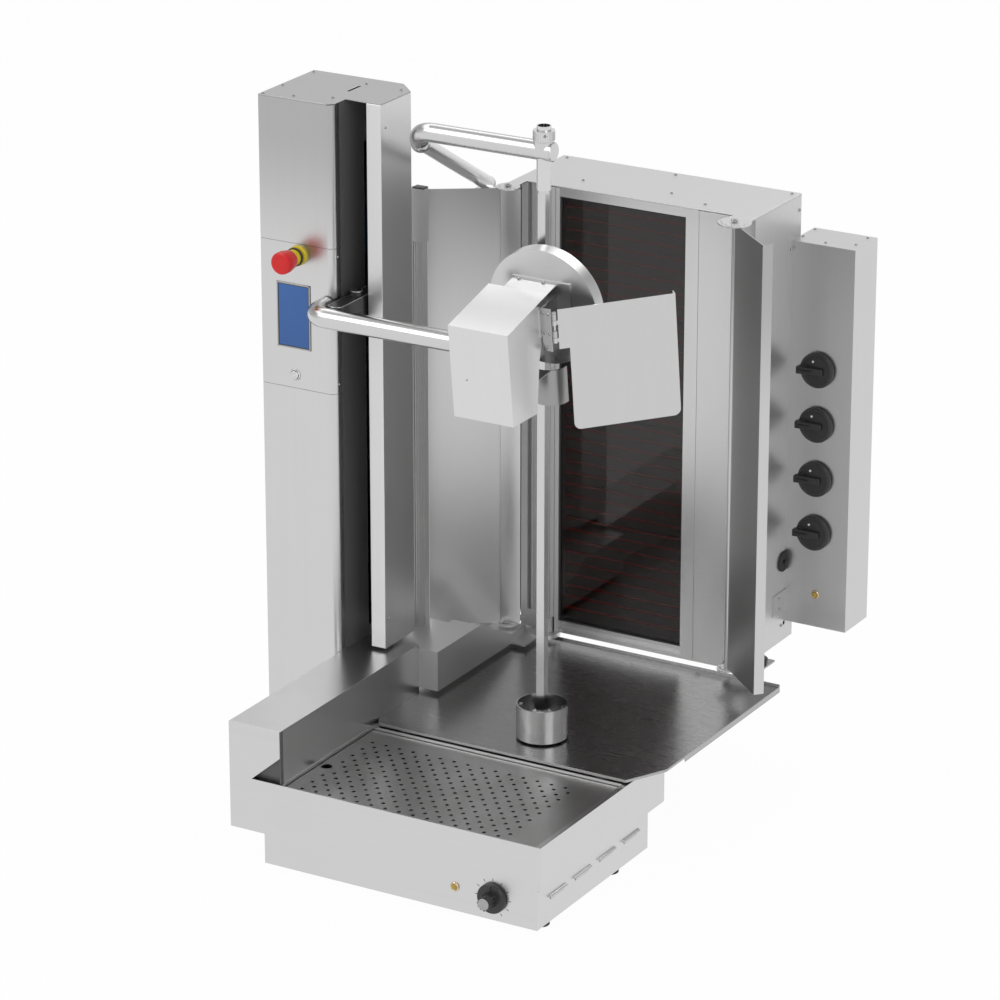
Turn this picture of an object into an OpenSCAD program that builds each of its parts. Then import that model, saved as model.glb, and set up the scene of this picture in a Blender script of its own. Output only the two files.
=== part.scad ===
/* [Overall] */
// Height of the rubber feet
foot_h = 16; // [14:1:18]
// Thickness of the bent steel sheet
sheet_t = 2; // [1.5:0.25:2]
// Radial running clearance of pins and shafts
fit_gap = 0.06; // [0.04:0.01:0.08]
// Free distance between pieces that move past each other
move_gap = 0.5; // [0.4:0.1:0.8]

/* [Tray unit] */
// Width of the tray unit with its raised left wall
tray_w = 622; // [618:1:626]
// Depth of the upper tray box
tray_d = 438; // [434:1:442]
// Height of the tray unit above its feet
tray_h = 154; // [150:1:158]
// Height of the upper box above the side step
tray_upper_h = 80; // [76:1:84]
// Width of the raised left wall
wall_w = 104; // [100:1:108]
// Height of the raised wall above the tray
wall_rise = 99.5; // [96:0.5:102]
// Depth of the raised wall
wall_d = 465; // [460:1:470]
// Drop of the raised wall below the tray top
wall_drop = 99; // [96:1:102]
// Inset of the lower box at the left
low_inset_l = 70; // [66:1:74]
// Inset of the lower box at the right
low_inset_r = 6; // [5:1:8]
// Depth of the lower box
low_d = 390; // [386:1:394]
// Slant of the cut under the raised wall's front, sideways
notch_w = 58.5; // [54:0.5:62]
// Slant of the cut under the raised wall's front, upwards
notch_h = 50; // [46:1:54]
// Depth of the open tray from the front
open_d = 302; // [298:1:303]
// Width of the tray's top rim
rim_w = 10; // [8:1:12]
// Depth of the perforated plate's face below the tray top
perf_drop = 6; // [5:0.5:7]
// Diameter of the perforations
perf_hole_d = 7; // [6:0.5:8]
// Distance between perforations in a row
perf_pitch_x = 28; // [27:0.5:30]
// Distance between rows of perforations
perf_pitch_y = 16.5; // [16:0.5:18]
// Depth of the lift-out drip pan
pan_h = 52; // [46:1:56]
// Radius of the feet
foot_r = 15; // [13:1:17]
// Length of one side louvre
louvre_l = 58; // [52:1:62]
// Half height of one side louvre
louvre_r = 5; // [4:0.5:6]

/* [Base plate and spit] */
// Rise of the base plate above the tray top
plate_rise = 8; // [7:0.5:9]
// Width of the base plate
plate_w = 570; // [566:1:574]
// Depth of the base plate
plate_d = 509; // [505:1:512]
// Distance of the base plate's front from the tray front
plate_back = 304; // [304:1:306]
// Height of the base plate's turned-down edge
plate_lip = 12; // [10:1:14]
// Height of the base plate's front edge
plate_front_lip = 5; // [4:0.5:5.5]
// Overhang of the base plate past the tray's right side
plate_over = 35; // [33:1:37]
// Distance of the spit's axis from the tray's right side
spit_in = 224; // [222:1:226]
// Distance of the spit's axis from the tray front
spit_back = 397; // [395:1:399]
// Width of the square spit bar
spit_bar_w = 15; // [14:0.5:16]
// Outer radius of the drive cup
cup_r = 46; // [44:1:48]
// Height of the drive cup
cup_h = 61; // [56:1:66]
// Wall of the drive cup
cup_t = 2.5; // [2:0.5:3]
// Outer radius of the spit's upper sleeve
sleeve_r = 12.6; // [12.4:0.1:13]
// Outer radius of the upper holder tube
holder_r = 17; // [16:0.5:18]
// Height of the holder tube's axis above the tray top
holder_z = 1082; // [1078:1:1086]
// Radius of the drive shaft
drive_r = 10; // [9:0.5:11]

/* [Tower] */
// Width of the tower's column
tower_w = 150; // [148:1:152]
// Depth of the tower's column
tower_d = 182; // [178:1:184]
// Distance of the tower's front from the tray front
tower_back = 358; // [356:1:360]
// Height of the tower above the tray top
tower_rise = 1115; // [1110:1:1120]
// Corner radius of the tower's front edge
tower_r = 12; // [10:1:14]
// Width of the open channel beside the column
channel_w = 42; // [41:0.5:43]
// Width of the cover beside the channel
cover_w = 29; // [28:0.5:30]
// Distance of the cover's front from the tower front
cover_back = 46; // [44:1:48]
// Height of the touch screen
screen_h = 120; // [116:1:124]
// Width of the touch screen
screen_w = 69; // [66:1:71]
// Radius of the emergency stop's head
stop_r = 20; // [19:0.5:21]
// Radius of the start button
start_r = 9.5; // [9:0.5:10]
// Radius of the tower's lead screw
screw_r = 8; // [7:0.5:8]

/* [Slicing arm and head] */
// Outer radius of the arm tube
arm_r = 18; // [17.5:0.25:18.5]
// Height of the arm tube's axis above the tray top
arm_z = 750; // [746:1:754]
// Distance of the arm tube's axis from the tray front
arm_back = 300; // [298:1:302]
// Bend radius of the arm tube
arm_bend = 34; // [33:0.5:35]
// Width of the slicer head's box
head_w = 115; // [112:1:118]
// Forward lean of the slicer head in degrees
head_lean = 7; // [5:0.5:9]
// Radius of the blade guard
guard_r = 104; // [102:1:106]
// Radius of the round blade
blade_r = 92; // [88:1:94]
// Length of the slice flap
flap_l = 209; // [204:1:212]
// Height of the slice flap
flap_h = 225; // [220:1:228]

/* [Grill] */
// Width of the grill body
grill_w = 487; // [483:1:490]
// Depth of the grill body
grill_d = 179; // [175:1:182]
// Height of the grill's top above the tray top
grill_top = 885; // [881:1:889]
// Height of the grill's frame foot above the tray top
grill_foot = 24; // [24:0.5:26]
// Distance of the grill's front from the tray front
grill_back = 806; // [805:1:807]
// Width of the ribbed left pillar
pillar_w = 79; // [77:1:80]
// Depth of the frame profiles
frame_d = 30; // [28:1:32]
// Width of the glass opening
glass_w = 256; // [253:1:259]
// Width of the frame's right post
post_w = 26; // [25:1:27]
// Width of the polished side panel
mirror_w = 63; // [61:1:65]
// Thickness of the glass
glass_t = 4; // [4:0.5:5]
// Length of the left wing
wing_l = 145; // [142:1:147]
// Length of the right wing
wing_r = 135; // [132:1:137]
// Depth of the wings' folded outer edge
wing_fold = 18; // [16:1:19]
// Angle of the left wing seen from above
wing_l_angle = 213; // [210:1:216]
// Angle of the right wing seen from above
wing_r_angle = 319; // [316:1:322]
// Number of heating wires
wire_n = 36; // [32:2:36]

/* [Control box] */
// Width of the control box
ctrl_w = 126; // [124:1:128]
// Distance of the control box's front from the grill's front
ctrl_back = 143; // [141:1:146]
// Depth of the control box
ctrl_d = 90; // [88:1:92]
// Height of the control box
ctrl_h = 729; // [724:1:734]
// Height of the control box's underside above the tray top
ctrl_z = 78; // [76:1:80]
// Radius of a power knob
knob_r = 33; // [31:1:34]
// Distance between the power knobs
knob_pitch = 104; // [102:1:105]
// Height of the lowest power knob above the tray top
knob_z = 261.5; // [260:0.5:263]
// Reach of the tray knob in front of the tray
tray_knob_reach = 34; // [33:1:35]

/* [Hidden] */
$fn = 64;
// Over-cut of every cutting solid
cut = sheet_t / 2;
// Distance of the grill's left side from the tray's right side
grill_side = 516;
// Overall width and depth, which the units beside and behind each other add up to
unit_w = tower_w + tray_w - grill_side + grill_w + ctrl_w;
unit_d = tray_knob_reach + grill_back + ctrl_back + ctrl_d;
left_x = -unit_w / 2;
right_x = unit_w / 2;
front_y = -unit_d / 2;
back_y = unit_d / 2;
tray_fy = front_y + tray_knob_reach;
tray_by = tray_fy + tray_d;
tray_bz = foot_h;
tray_tz = foot_h + tray_h;
tower_rx = left_x + tower_w;
tray_lx = tower_rx;
tray_rx = tray_lx + tray_w;
wall_ix = tray_lx + wall_w;
wall_bz = tray_tz - wall_drop;
wall_tz = tray_tz + wall_rise;
wall_by = tray_fy + wall_d;
step_z = tray_tz - tray_upper_h;
low_lx = tray_lx + low_inset_l;
low_rx = tray_rx - low_inset_r;
low_by = tray_fy + low_d;
open_by = tray_fy + open_d;
grill_lx = tray_rx - grill_side;
grill_rx = grill_lx + grill_w;
grill_fy = tray_fy + grill_back;
grill_by = grill_fy + grill_d;
ctrl_fy = back_y - ctrl_d;
ctrl_bz = tray_tz + ctrl_z;
ctrl_tz = ctrl_bz + ctrl_h;

module bx(x0, y0, z0, x1, y1, z1) {
  translate([x0, y0, z0]) cube([x1 - x0, y1 - y0, z1 - z0]);
}
module rod_z(x, y, z0, z1, r) {
  translate([x, y, z0]) cylinder(r = r, h = z1 - z0);
}
module rod_y(x, y0, y1, z, r) {
  translate([x, y1, z]) rotate([90, 0, 0]) cylinder(r = r, h = y1 - y0);
}
module rod_x(x0, x1, y, z, r) {
  translate([x0, y, z]) rotate([0, 90, 0]) cylinder(r = r, h = x1 - x0);
}

// Tray unit: front sheet with the raised left end, upper box with its rim
notch_x = wall_ix - notch_w;
ledge_w = rim_w + 4 * sheet_t;
ledge_z = tray_tz - perf_drop - 4 * sheet_t;
// Seam round the ledge and the left side sheet, which are spot-welded in
weld_gap = 0.3;
module tray_shell() color("silver") {
  difference() {
    translate([0, tray_fy + sheet_t, 0]) rotate([90, 0, 0]) linear_extrude(sheet_t)
    polygon([[tray_lx, wall_bz], [low_lx, wall_bz], [low_lx, tray_bz], [low_rx, tray_bz], [low_rx, step_z],
      [tray_rx, step_z], [tray_rx, tray_tz], [notch_x, tray_tz], [wall_ix, tray_tz + notch_h],
      [wall_ix, wall_tz], [tray_lx, wall_tz]]);
    rod_y(tk_x, tray_fy - cut, tray_fy + sheet_t + cut, tk_z, stem_r + move_gap);
  }
  difference() {
    bx(wall_ix + sheet_t + weld_gap, tray_fy + sheet_t, step_z, tray_rx, tray_by, tray_tz);
    bx(wall_ix + sheet_t, tray_fy + sheet_t - cut, step_z - cut,
      tray_rx - sheet_t, tray_by - sheet_t, tray_tz - sheet_t);
    bx(wall_ix + sheet_t, tray_fy + sheet_t - cut, ledge_z, tray_rx - rim_w, open_by, tray_tz + cut);
    rod_z(spit_x, spit_y, tray_tz - sheet_t - cut, tray_tz + cut, drive_r + 4 * move_gap);
  }
  difference() {
    bx(wall_ix + sheet_t + weld_gap, tray_fy + sheet_t + weld_gap, ledge_z - sheet_t,
      tray_rx - sheet_t - weld_gap, open_by + ledge_w, ledge_z);
    bx(wall_ix + ledge_w, tray_fy + ledge_w, ledge_z - sheet_t - cut, tray_rx - ledge_w, open_by - ledge_w,
      ledge_z + cut);
  }
  bx(wall_ix + sheet_t + weld_gap, open_by, ledge_z + weld_gap, tray_rx - sheet_t, open_by + sheet_t,
    tray_tz - sheet_t);
  bx(wall_ix, tray_fy + sheet_t + weld_gap, step_z, wall_ix + sheet_t, tray_by, tray_tz);
}

// Raised wall: closed sheet box along the tray's left side
module raised_wall() color("silver") difference() {
  union() {
    bx(tray_lx, tray_fy + notch_back, wall_bz, wall_ix, wall_by, wall_tz);
    bx(tray_lx, tray_fy + sheet_t, wall_tz - sheet_t, wall_ix, tray_fy + notch_back, wall_tz);
    bx(tray_lx, tray_fy + sheet_t, wall_bz, tray_lx + sheet_t, tray_fy + notch_back, wall_tz);
  }
  bx(tray_lx + sheet_t, tray_fy + notch_back + sheet_t, wall_bz + sheet_t, wall_ix - sheet_t,
    wall_by - sheet_t, wall_tz - sheet_t);
}
notch_back = 6 * sheet_t;

// Lower box: closed bottom, open top, louvred right side
louvre_n = 4;
louvre_front = 68;
louvre_pitch = 86;
louvre_up = 46.5;
louvre_y0 = tray_fy + louvre_front;
louvre_z = tray_bz + louvre_up;
module tray_base() color("silver") {
  difference() {
    bx(low_lx, tray_fy + sheet_t, tray_bz, low_rx, low_by, step_z);
    bx(low_lx + sheet_t, tray_fy + 2 * sheet_t, tray_bz + sheet_t, low_rx - sheet_t, low_by - sheet_t,
      step_z + cut);
    bx(low_lx - cut, tray_fy + notch_back, wall_bz, wall_ix, wall_by, step_z + cut);
    rod_y(tk_x, tray_fy, tray_fy + 2 * sheet_t + cut, tk_z, stem_r + move_gap);
    for (i = [0:louvre_n - 1])
      bx(low_rx - sheet_t - cut, louvre_y0 + i * louvre_pitch - louvre_l / 2 + louvre_r, louvre_z - louvre_r,
        low_rx + cut, louvre_y0 + i * louvre_pitch + louvre_l / 2 - louvre_r, louvre_z);
  }
  for (i = [0:louvre_n - 1])
    translate([low_rx, louvre_y0 + i * louvre_pitch - louvre_l / 2, louvre_z])
      difference() {
        intersection() {
          translate([0, louvre_l, 0]) rotate([90, 0, 0]) cylinder(r = louvre_r, h = louvre_l);
          bx(0, 0, 0, louvre_r, louvre_l, louvre_r);
        }
        translate([0, louvre_l - sheet_t, 0]) rotate([90, 0, 0])
          cylinder(r = louvre_r - sheet_t / 2, h = louvre_l - 2 * sheet_t);
      }
  bx(low_rx, tray_fy + sheet_t, step_z - sheet_t, tray_rx, low_by, step_z);
  bx(wall_ix, low_by, step_z - sheet_t, tray_rx, tray_by, step_z);
}

// Rear stand under the base plate
module rear_stand() color("silver") difference() {
  bx(stand_lx, stand_by - stand_d, foot_h, stand_lx + stand_w, stand_by, plate_tz - sheet_t);
  bx(stand_lx + sheet_t, stand_by - stand_d + sheet_t, foot_h + sheet_t, stand_lx + stand_w - sheet_t,
    stand_by - sheet_t, plate_tz - 2 * sheet_t);
}

// Rubber feet: six identical pads
foot_in = foot_r + 5 * sheet_t;
foot_front = 57;
foot_rear = 300;
module feet() color("dimgray")
  for (p = [[low_rx - foot_in, tray_fy + foot_front], [low_rx - foot_in, tray_fy + foot_rear],
      [low_lx + foot_in, tray_fy + foot_front], [low_lx + foot_in, tray_fy + foot_rear],
      [stand_lx + foot_in, stand_by - foot_in], [stand_lx + stand_w - foot_in, stand_by - foot_in],
      [left_x + foot_in, tower_by - foot_in], [left_x + foot_in, tower_fy + foot_in]])
    translate([p[0], p[1], 0]) cylinder(r = foot_r, h = foot_h);

// Base plate under the spit: chamfered front corners, turned-down edges, rear rim and a slotted tongue
plate_tz = tray_tz + plate_rise;
plate_rx = tray_rx + plate_over;
plate_lx = plate_rx - plate_w;
plate_fy = tray_fy + plate_back;
plate_by = plate_fy + plate_d;
plate_cl = [30, 52];
plate_cr = [39, 77];
stand_w = 260;
stand_d = 219;
stand_side = 35;
stand_lx = plate_lx + stand_side;
stand_in = 20;
stand_by = plate_by - stand_in;
spit_x = tray_rx - spit_in;
spit_y = tray_fy + spit_back;
function plate_pts(e) = [[plate_lx + e, plate_by - e], [plate_lx + e, plate_fy + plate_cl[1]],
  [plate_lx + plate_cl[0] + e / 2, plate_fy + e], [plate_rx - plate_cr[0] - e / 2, plate_fy + e],
  [plate_rx - e, plate_fy + plate_cr[1]], [plate_rx - e, plate_by - e]];
module base_plate() color("silver") difference() {
  union() {
    translate([0, 0, plate_tz - sheet_t]) linear_extrude(sheet_t) polygon(plate_pts(0));
    difference() {
      translate([0, 0, plate_tz - plate_lip]) linear_extrude(plate_lip) polygon(plate_pts(0));
      translate([0, 0, plate_tz - plate_lip - cut]) linear_extrude(plate_lip + 2 * cut)
        polygon(plate_pts(sheet_t));
      bx(plate_lx - cut, plate_fy - cut, plate_tz - plate_lip - cut, plate_rx + cut,
        tray_by + plate_lip, plate_tz - plate_front_lip);
    }
    bx(plate_lx, plate_by - sheet_t, plate_tz, plate_rx, plate_by, plate_tz + 2 * sheet_t);
    bx(knob5_x - tongue_hw, plate_by - sheet_t, plate_tz - sheet_t, knob5_x + tongue_hw,
      plate_by + tongue_l, plate_tz + sheet_t);
    for (s = block_shares)
      bx(wall_ix + (tray_rx - wall_ix) * s - 5 * sheet_t, open_by + 5 * sheet_t, tray_tz,
        wall_ix + (tray_rx - wall_ix) * s + 5 * sheet_t, tray_by - 2 * sheet_t, plate_tz - sheet_t);
  }
  bx(plate_lx - cut, plate_fy - cut, plate_tz - plate_lip - cut, wall_ix, wall_by, plate_tz + cut);
  rod_z(spit_x, spit_y, tray_tz - cut, plate_tz + cut, drive_r + 4 * move_gap);
  translate([piv_x, piv_y, plate_tz - sheet_t - cut]) rotate([0, 0, tongue_arc[0]])
    rotate_extrude(angle = tongue_arc[1] - tongue_arc[0])
      translate([norm([knob5_x - piv_x, knob5_y - piv_y]) - stud_r - move_gap, 0])
        square([2 * (stud_r + move_gap), 2 * (sheet_t + cut)]);
}
tongue_l = 104;
tongue_hw = 17;
tongue_arc = [4, 14];
block_shares = [0.12, 0.88];

// Heating loop under the drip pan: two rails and cross tubes
heat_r = 4;
heat_z = ledge_z - pan_h - 4 * sheet_t;
heat_in = 60;
heat_front = 57;
heat_lx = wall_ix + heat_in;
heat_rx = tray_rx - heat_in;
heat_n = 6;
heat_y0 = tray_fy + heat_front;
heat_pitch = 42;
module tray_heater() color("dimgray") {
  for (i = [0:heat_n - 1])
    rod_x(heat_lx, heat_rx, heat_y0 + i * heat_pitch, heat_z, heat_r);
  for (i = [0:heat_n - 2])
    translate([i % 2 == 0 ? heat_rx : heat_lx, heat_y0 + (i + 0.5) * heat_pitch, heat_z])
      rotate([0, 0, i % 2 == 0 ? -90 : 90]) rotate_extrude(angle = 180)
        translate([heat_pitch / 2, 0]) circle(r = heat_r);
  for (x = [heat_lx + heat_pitch, heat_rx - heat_pitch])
    bx(x, heat_y0 - heat_pitch / 2, heat_z - heat_r - sheet_t, x + heat_pitch / 2,
      heat_y0 + heat_pitch * (heat_n - 0.5), heat_z - heat_r);
  for (x = [heat_lx + heat_pitch, heat_rx - heat_pitch], y = [heat_y0 - heat_pitch / 2,
      heat_y0 + heat_pitch * (heat_n - 0.5) - heat_pitch / 4])
    bx(x, y, tray_bz + sheet_t, x + heat_pitch / 2, y + heat_pitch / 4, heat_z - heat_r - sheet_t);
}

// Perforated plate: staggered holes, one finger hole, folded rim; it lifts out with some play
lift_gap = 2;
perf_lx = wall_ix + sheet_t + lift_gap;
perf_rx = tray_rx - rim_w - lift_gap;
perf_fy = tray_fy + sheet_t + lift_gap;
perf_by = open_by - lift_gap;
perf_tz = tray_tz - perf_drop;
perf_t = sheet_t * 0.75;
perf_nx = floor((perf_rx - perf_lx - 2 * perf_pitch_x) / perf_pitch_x);
perf_ny = floor((perf_by - perf_fy - 2 * perf_pitch_y) / perf_pitch_y);
finger_r = 10;
finger_front = 118;
module perforated_plate() color("silver") {
  translate([0, 0, perf_tz - perf_t]) linear_extrude(perf_t) difference() {
    translate([perf_lx, perf_fy]) square([perf_rx - perf_lx, perf_by - perf_fy]);
    for (j = [0:perf_ny - 1], i = [0:perf_nx - 1])
      if (norm([(i + (j % 2) / 2) * perf_pitch_x + perf_pitch_x - 0.5 * perf_pitch_x,
          (j + 1) * perf_pitch_y - finger_front]) > finger_r + perf_hole_d)
        translate([perf_lx + (i + 1 + (j % 2) / 2) * perf_pitch_x, perf_fy + (j + 1) * perf_pitch_y])
          circle(d = perf_hole_d, $fn = 16);
    translate([perf_lx + 0.5 * perf_pitch_x, perf_fy + finger_front]) circle(r = finger_r);
  }
  difference() {
    bx(perf_lx, perf_fy, ledge_z + perf_t, perf_rx, perf_by, perf_tz - perf_t);
    bx(perf_lx + perf_t, perf_fy + perf_t, ledge_z, perf_rx - perf_t, perf_by - perf_t, perf_tz);
  }
}

// Drip pan below the perforated plate, resting on the tray's ledge
module drip_pan() color("silver") difference() {
  union() {
    bx(perf_lx, perf_fy, ledge_z, perf_rx, perf_by, ledge_z + perf_t);
    bx(wall_ix + ledge_w + move_gap, tray_fy + ledge_w + move_gap, ledge_z - pan_h,
      tray_rx - ledge_w - move_gap, open_by - ledge_w - move_gap, ledge_z);
  }
  bx(wall_ix + ledge_w + move_gap + perf_t, tray_fy + ledge_w + move_gap + perf_t, ledge_z - pan_h + perf_t,
    tray_rx - ledge_w - move_gap - perf_t, open_by - ledge_w - move_gap - perf_t, ledge_z + perf_t + cut);
}

// Thermostat body behind the tray's front sheets, with its stem through them
tk_in = 92.5;
tk_drop = 112;
tk_x = tray_rx - tk_in;
tk_z = tray_tz - tk_drop;
stem_r = 3;
stem_reach = 8;
thermo_w = 36;
thermo_h = 32;
thermo_d = 26;
module tray_thermostat() color("dimgray") {
  bx(tk_x - thermo_w / 2, tray_fy + 2 * sheet_t, tk_z - thermo_h / 2, tk_x + thermo_w / 2,
    tray_fy + 2 * sheet_t + thermo_d, tk_z + thermo_h / 2);
  rod_y(tk_x, tray_fy - stem_reach, tray_fy + 2 * sheet_t, tk_z, stem_r);
}

// Tray knob: skirt disc, round grip and a raised pointer bar
skirt_r = 27;
skirt_t = 10;
grip_r = 13;
point_w = 6;
module tray_knob() color("black") difference() {
  union() {
    rod_y(tk_x, tray_fy - skirt_t, tray_fy - move_gap, tk_z, skirt_r);
    rod_y(tk_x, front_y, tray_fy - skirt_t, tk_z, grip_r);
    bx(tk_x - point_w / 2, front_y + skirt_t, tk_z - skirt_r + point_w, tk_x + point_w / 2,
      tray_fy - skirt_t, tk_z + skirt_r - point_w);
  }
  rod_y(tk_x, tray_fy - stem_reach - move_gap, tray_fy, tk_z, stem_r + fit_gap);
}

// Amber pilot lamp on the tray's front: bezel ring and domed lens
lamp_r = 7;
lamp_rim = 1.5;
lamp_in = 167;
lamp_drop = 109;
module tray_lamp() color("orange") translate([tray_rx - lamp_in, tray_fy, tray_tz - lamp_drop]) {
  rod_y(0, -2 * lamp_rim, 0, 0, lamp_r + lamp_rim);
  translate([0, -2 * lamp_rim, 0]) intersection() {
    sphere(r = lamp_r);
    bx(-lamp_r, -lamp_r, -lamp_r, lamp_r, 0, lamp_r);
  }
}

// Spit gear motor: upright gearbox with a motor lying beside it, on two pads
gear_hw = 34;
motor_l = 110;
motor_r = 28;
pad_hw = 14;
pad_l = 50;
gear_pad = 2 * sheet_t;
module spit_gearmotor() color("dimgray") {
  difference() {
    bx(spit_x - gear_hw, spit_y - gear_hw, step_z + gear_pad, spit_x + gear_hw, spit_y + gear_hw,
      tray_tz - 2 * sheet_t);
    rod_z(spit_x, spit_y, shaft_bz - move_gap, tray_tz, drive_r + fit_gap);
  }
  rod_x(spit_x - gear_hw - motor_l, spit_x - gear_hw, spit_y, (step_z + tray_tz) / 2, motor_r);
  bx(spit_x - gear_hw - (motor_l + pad_l) / 2, spit_y - pad_hw, step_z,
    spit_x - gear_hw - (motor_l - pad_l) / 2, spit_y + pad_hw, (step_z + tray_tz) / 2);
  bx(spit_x - pad_hw, spit_y - pad_hw, step_z, spit_x + pad_hw, spit_y + pad_hw, step_z + gear_pad);
}

// Drive shaft from the gearbox up into the cup's hub
cup_lift = 4;
hub_grip = 5;
shaft_in = 14;
shaft_bz = step_z + gear_pad + shaft_in;
cup_z0 = plate_tz + cup_lift;
module drive_shaft() color("gray") rod_z(spit_x, spit_y, shaft_bz, cup_z0 + hub_grip, drive_r);

// Drive cup: open cup with a hub that takes the square spit bar, and two lugs at the rim
hub_r = 17;
hub_h = 44;
socket_up = 8;
lug_r = 6;
lug_h = 8;
lug_drop = 4;
lug_angles = [20, 200];
hub_top = cup_z0 + hub_h;
socket_z = cup_z0 + socket_up;
module at_lugs(z) for (a = lug_angles)
  translate([spit_x, spit_y, z]) rotate([0, 0, a]) translate([cup_r - cup_t - lug_r / 2, 0, 0]) children();
module drive_cup() color("silver") difference() {
  union() {
    difference() {
      rod_z(spit_x, spit_y, cup_z0, cup_z0 + cup_h, cup_r);
      rod_z(spit_x, spit_y, cup_z0 + 3 * cup_t, cup_z0 + cup_h + cut, cup_r - cup_t);
    }
    rod_z(spit_x, spit_y, cup_z0 + cup_t, hub_top, hub_r);
    at_lugs(cup_z0 + cup_h - lug_drop - lug_h) cylinder(r = lug_r, h = lug_h);
  }
  at_lugs(cup_z0 + cup_h - lug_drop - lug_h - cut) cylinder(r = lug_r / 3, h = lug_h + 2 * cut);
  rod_z(spit_x, spit_y, cup_z0 - cut, cup_z0 + hub_grip, drive_r);
  bx(spit_x - spit_bar_w / 2 - fit_gap, spit_y - spit_bar_w / 2 - fit_gap, socket_z,
    spit_x + spit_bar_w / 2 + fit_gap, spit_y + spit_bar_w / 2 + fit_gap, hub_top + cut);
}

// Square spit bar with a round top journal inside the sleeve
sleeve_down = 68;
sleeve_up = 44;
sleeve_t = 1.9;
spit_short = 30;
shoulder_gap = 6;
sleeve_bz = tray_tz + holder_z - sleeve_down;
sleeve_tz = tray_tz + holder_z + sleeve_up;
sleeve_ir = sleeve_r - sleeve_t;
spit_tz = sleeve_tz - spit_short;
module spit_bar() color("gainsboro") {
  bx(spit_x - spit_bar_w / 2, spit_y - spit_bar_w / 2, socket_z, spit_x + spit_bar_w / 2,
    spit_y + spit_bar_w / 2, sleeve_bz - shoulder_gap);
  rod_z(spit_x, spit_y, sleeve_bz - shoulder_gap, spit_tz, sleeve_ir - fit_gap);
}

// Sleeve that holds the bar's top, with its knurled collar and a cross hole
collar_h = 18;
collar_r = 18.5;
cross_r = 3;
cross_turn = 35;
collar_up = 1.5;
collar_z = tray_tz + holder_z + holder_r + collar_up;
module spit_sleeve() color("gainsboro") difference() {
  union() {
    rod_z(spit_x, spit_y, sleeve_bz, sleeve_tz, sleeve_r);
    rod_z(spit_x, spit_y, collar_z, collar_z + collar_h, collar_r);
  }
  rod_z(spit_x, spit_y, sleeve_bz - cut, sleeve_tz + cut, sleeve_ir);
  translate([spit_x, spit_y, collar_z + collar_h * 0.6]) rotate([90, 0, cross_turn])
    cylinder(r = cross_r, h = 3 * collar_r, center = true);
}

// Spit holder: cross tube, bend, slanted leg and the square column behind the left wing
holder_over = 18;
holder_run = 219;
holder_bend = 38;
holder_tilt = -50;
leg_r = 13.5;
col_side = 34;
col_back = 13;
col_w = 40;
col_rise = 862;
leg_stub = 8;
col_t = 3;
knot = 1;
bend_step = 0.1;
holder_cz = tray_tz + holder_z;
holder_bx = spit_x - holder_run;
col_x = plate_lx - col_side;
col_y = plate_by - col_back;
col_tz = tray_tz + col_rise;
leg_p0 = [holder_bx - holder_bend, spit_y + holder_bend * cos(holder_tilt),
  holder_cz + holder_bend * sin(holder_tilt)];
leg_p1 = [col_x, col_y, col_tz + leg_stub];
leg_v = leg_p1 - leg_p0;
module spit_holder() color("gainsboro") {
  difference() {
    union() {
      rod_x(holder_bx, spit_x + holder_over, spit_y, holder_cz, holder_r);
      rod_z(spit_x, spit_y, holder_cz, collar_z - move_gap, holder_r + knot);
    }
    rod_z(spit_x, spit_y, holder_cz - 2 * holder_r, holder_cz + 2 * holder_r, sleeve_r + fit_gap);
  }
  translate([holder_bx, spit_y, holder_cz]) rotate([holder_tilt, 0, 0])
    translate([0, holder_bend, 0]) rotate([0, 0, 180]) rotate_extrude(angle = 90)
      translate([holder_bend, 0]) circle(r = holder_r - bend_step);
  translate(leg_p0) sphere(r = holder_r + knot);
  translate(leg_p0) rotate([0, acos(leg_v[2] / norm(leg_v)), atan2(leg_v[1], leg_v[0])])
    cylinder(r = leg_r, h = norm(leg_v));
  translate(leg_p1) sphere(r = leg_r + knot);
  difference() {
    bx(col_x - col_w / 2, col_y - col_w / 2, arm_fz, col_x + col_w / 2, col_y + col_w / 2, col_tz);
    bx(col_x - col_w / 2 + col_t, col_y - col_w / 2 + col_t, arm_fz - cut, col_x + col_w / 2 - col_t,
      col_y + col_w / 2 - col_t, col_tz - 4 * col_t);
  }
}

// Tower column: three-sided sheet shell with a floor
liner_t = 1.5;
tower_fy = tray_fy + tower_back;
tower_by = tower_fy + tower_d;
tower_tz = tray_tz + tower_rise;
module tower_column() color("silver") difference() {
  bx(left_x, tower_fy + sheet_t, foot_h, tower_rx - liner_t, tower_by, tower_tz - sheet_t);
  bx(left_x + sheet_t, tower_fy, foot_h + 2 * sheet_t, tower_rx, tower_by - sheet_t, tower_tz);
  bx(tower_rx - tower_r, tower_fy, foot_h - cut, tower_rx, tower_fy + tower_r, tower_tz);
}

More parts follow.
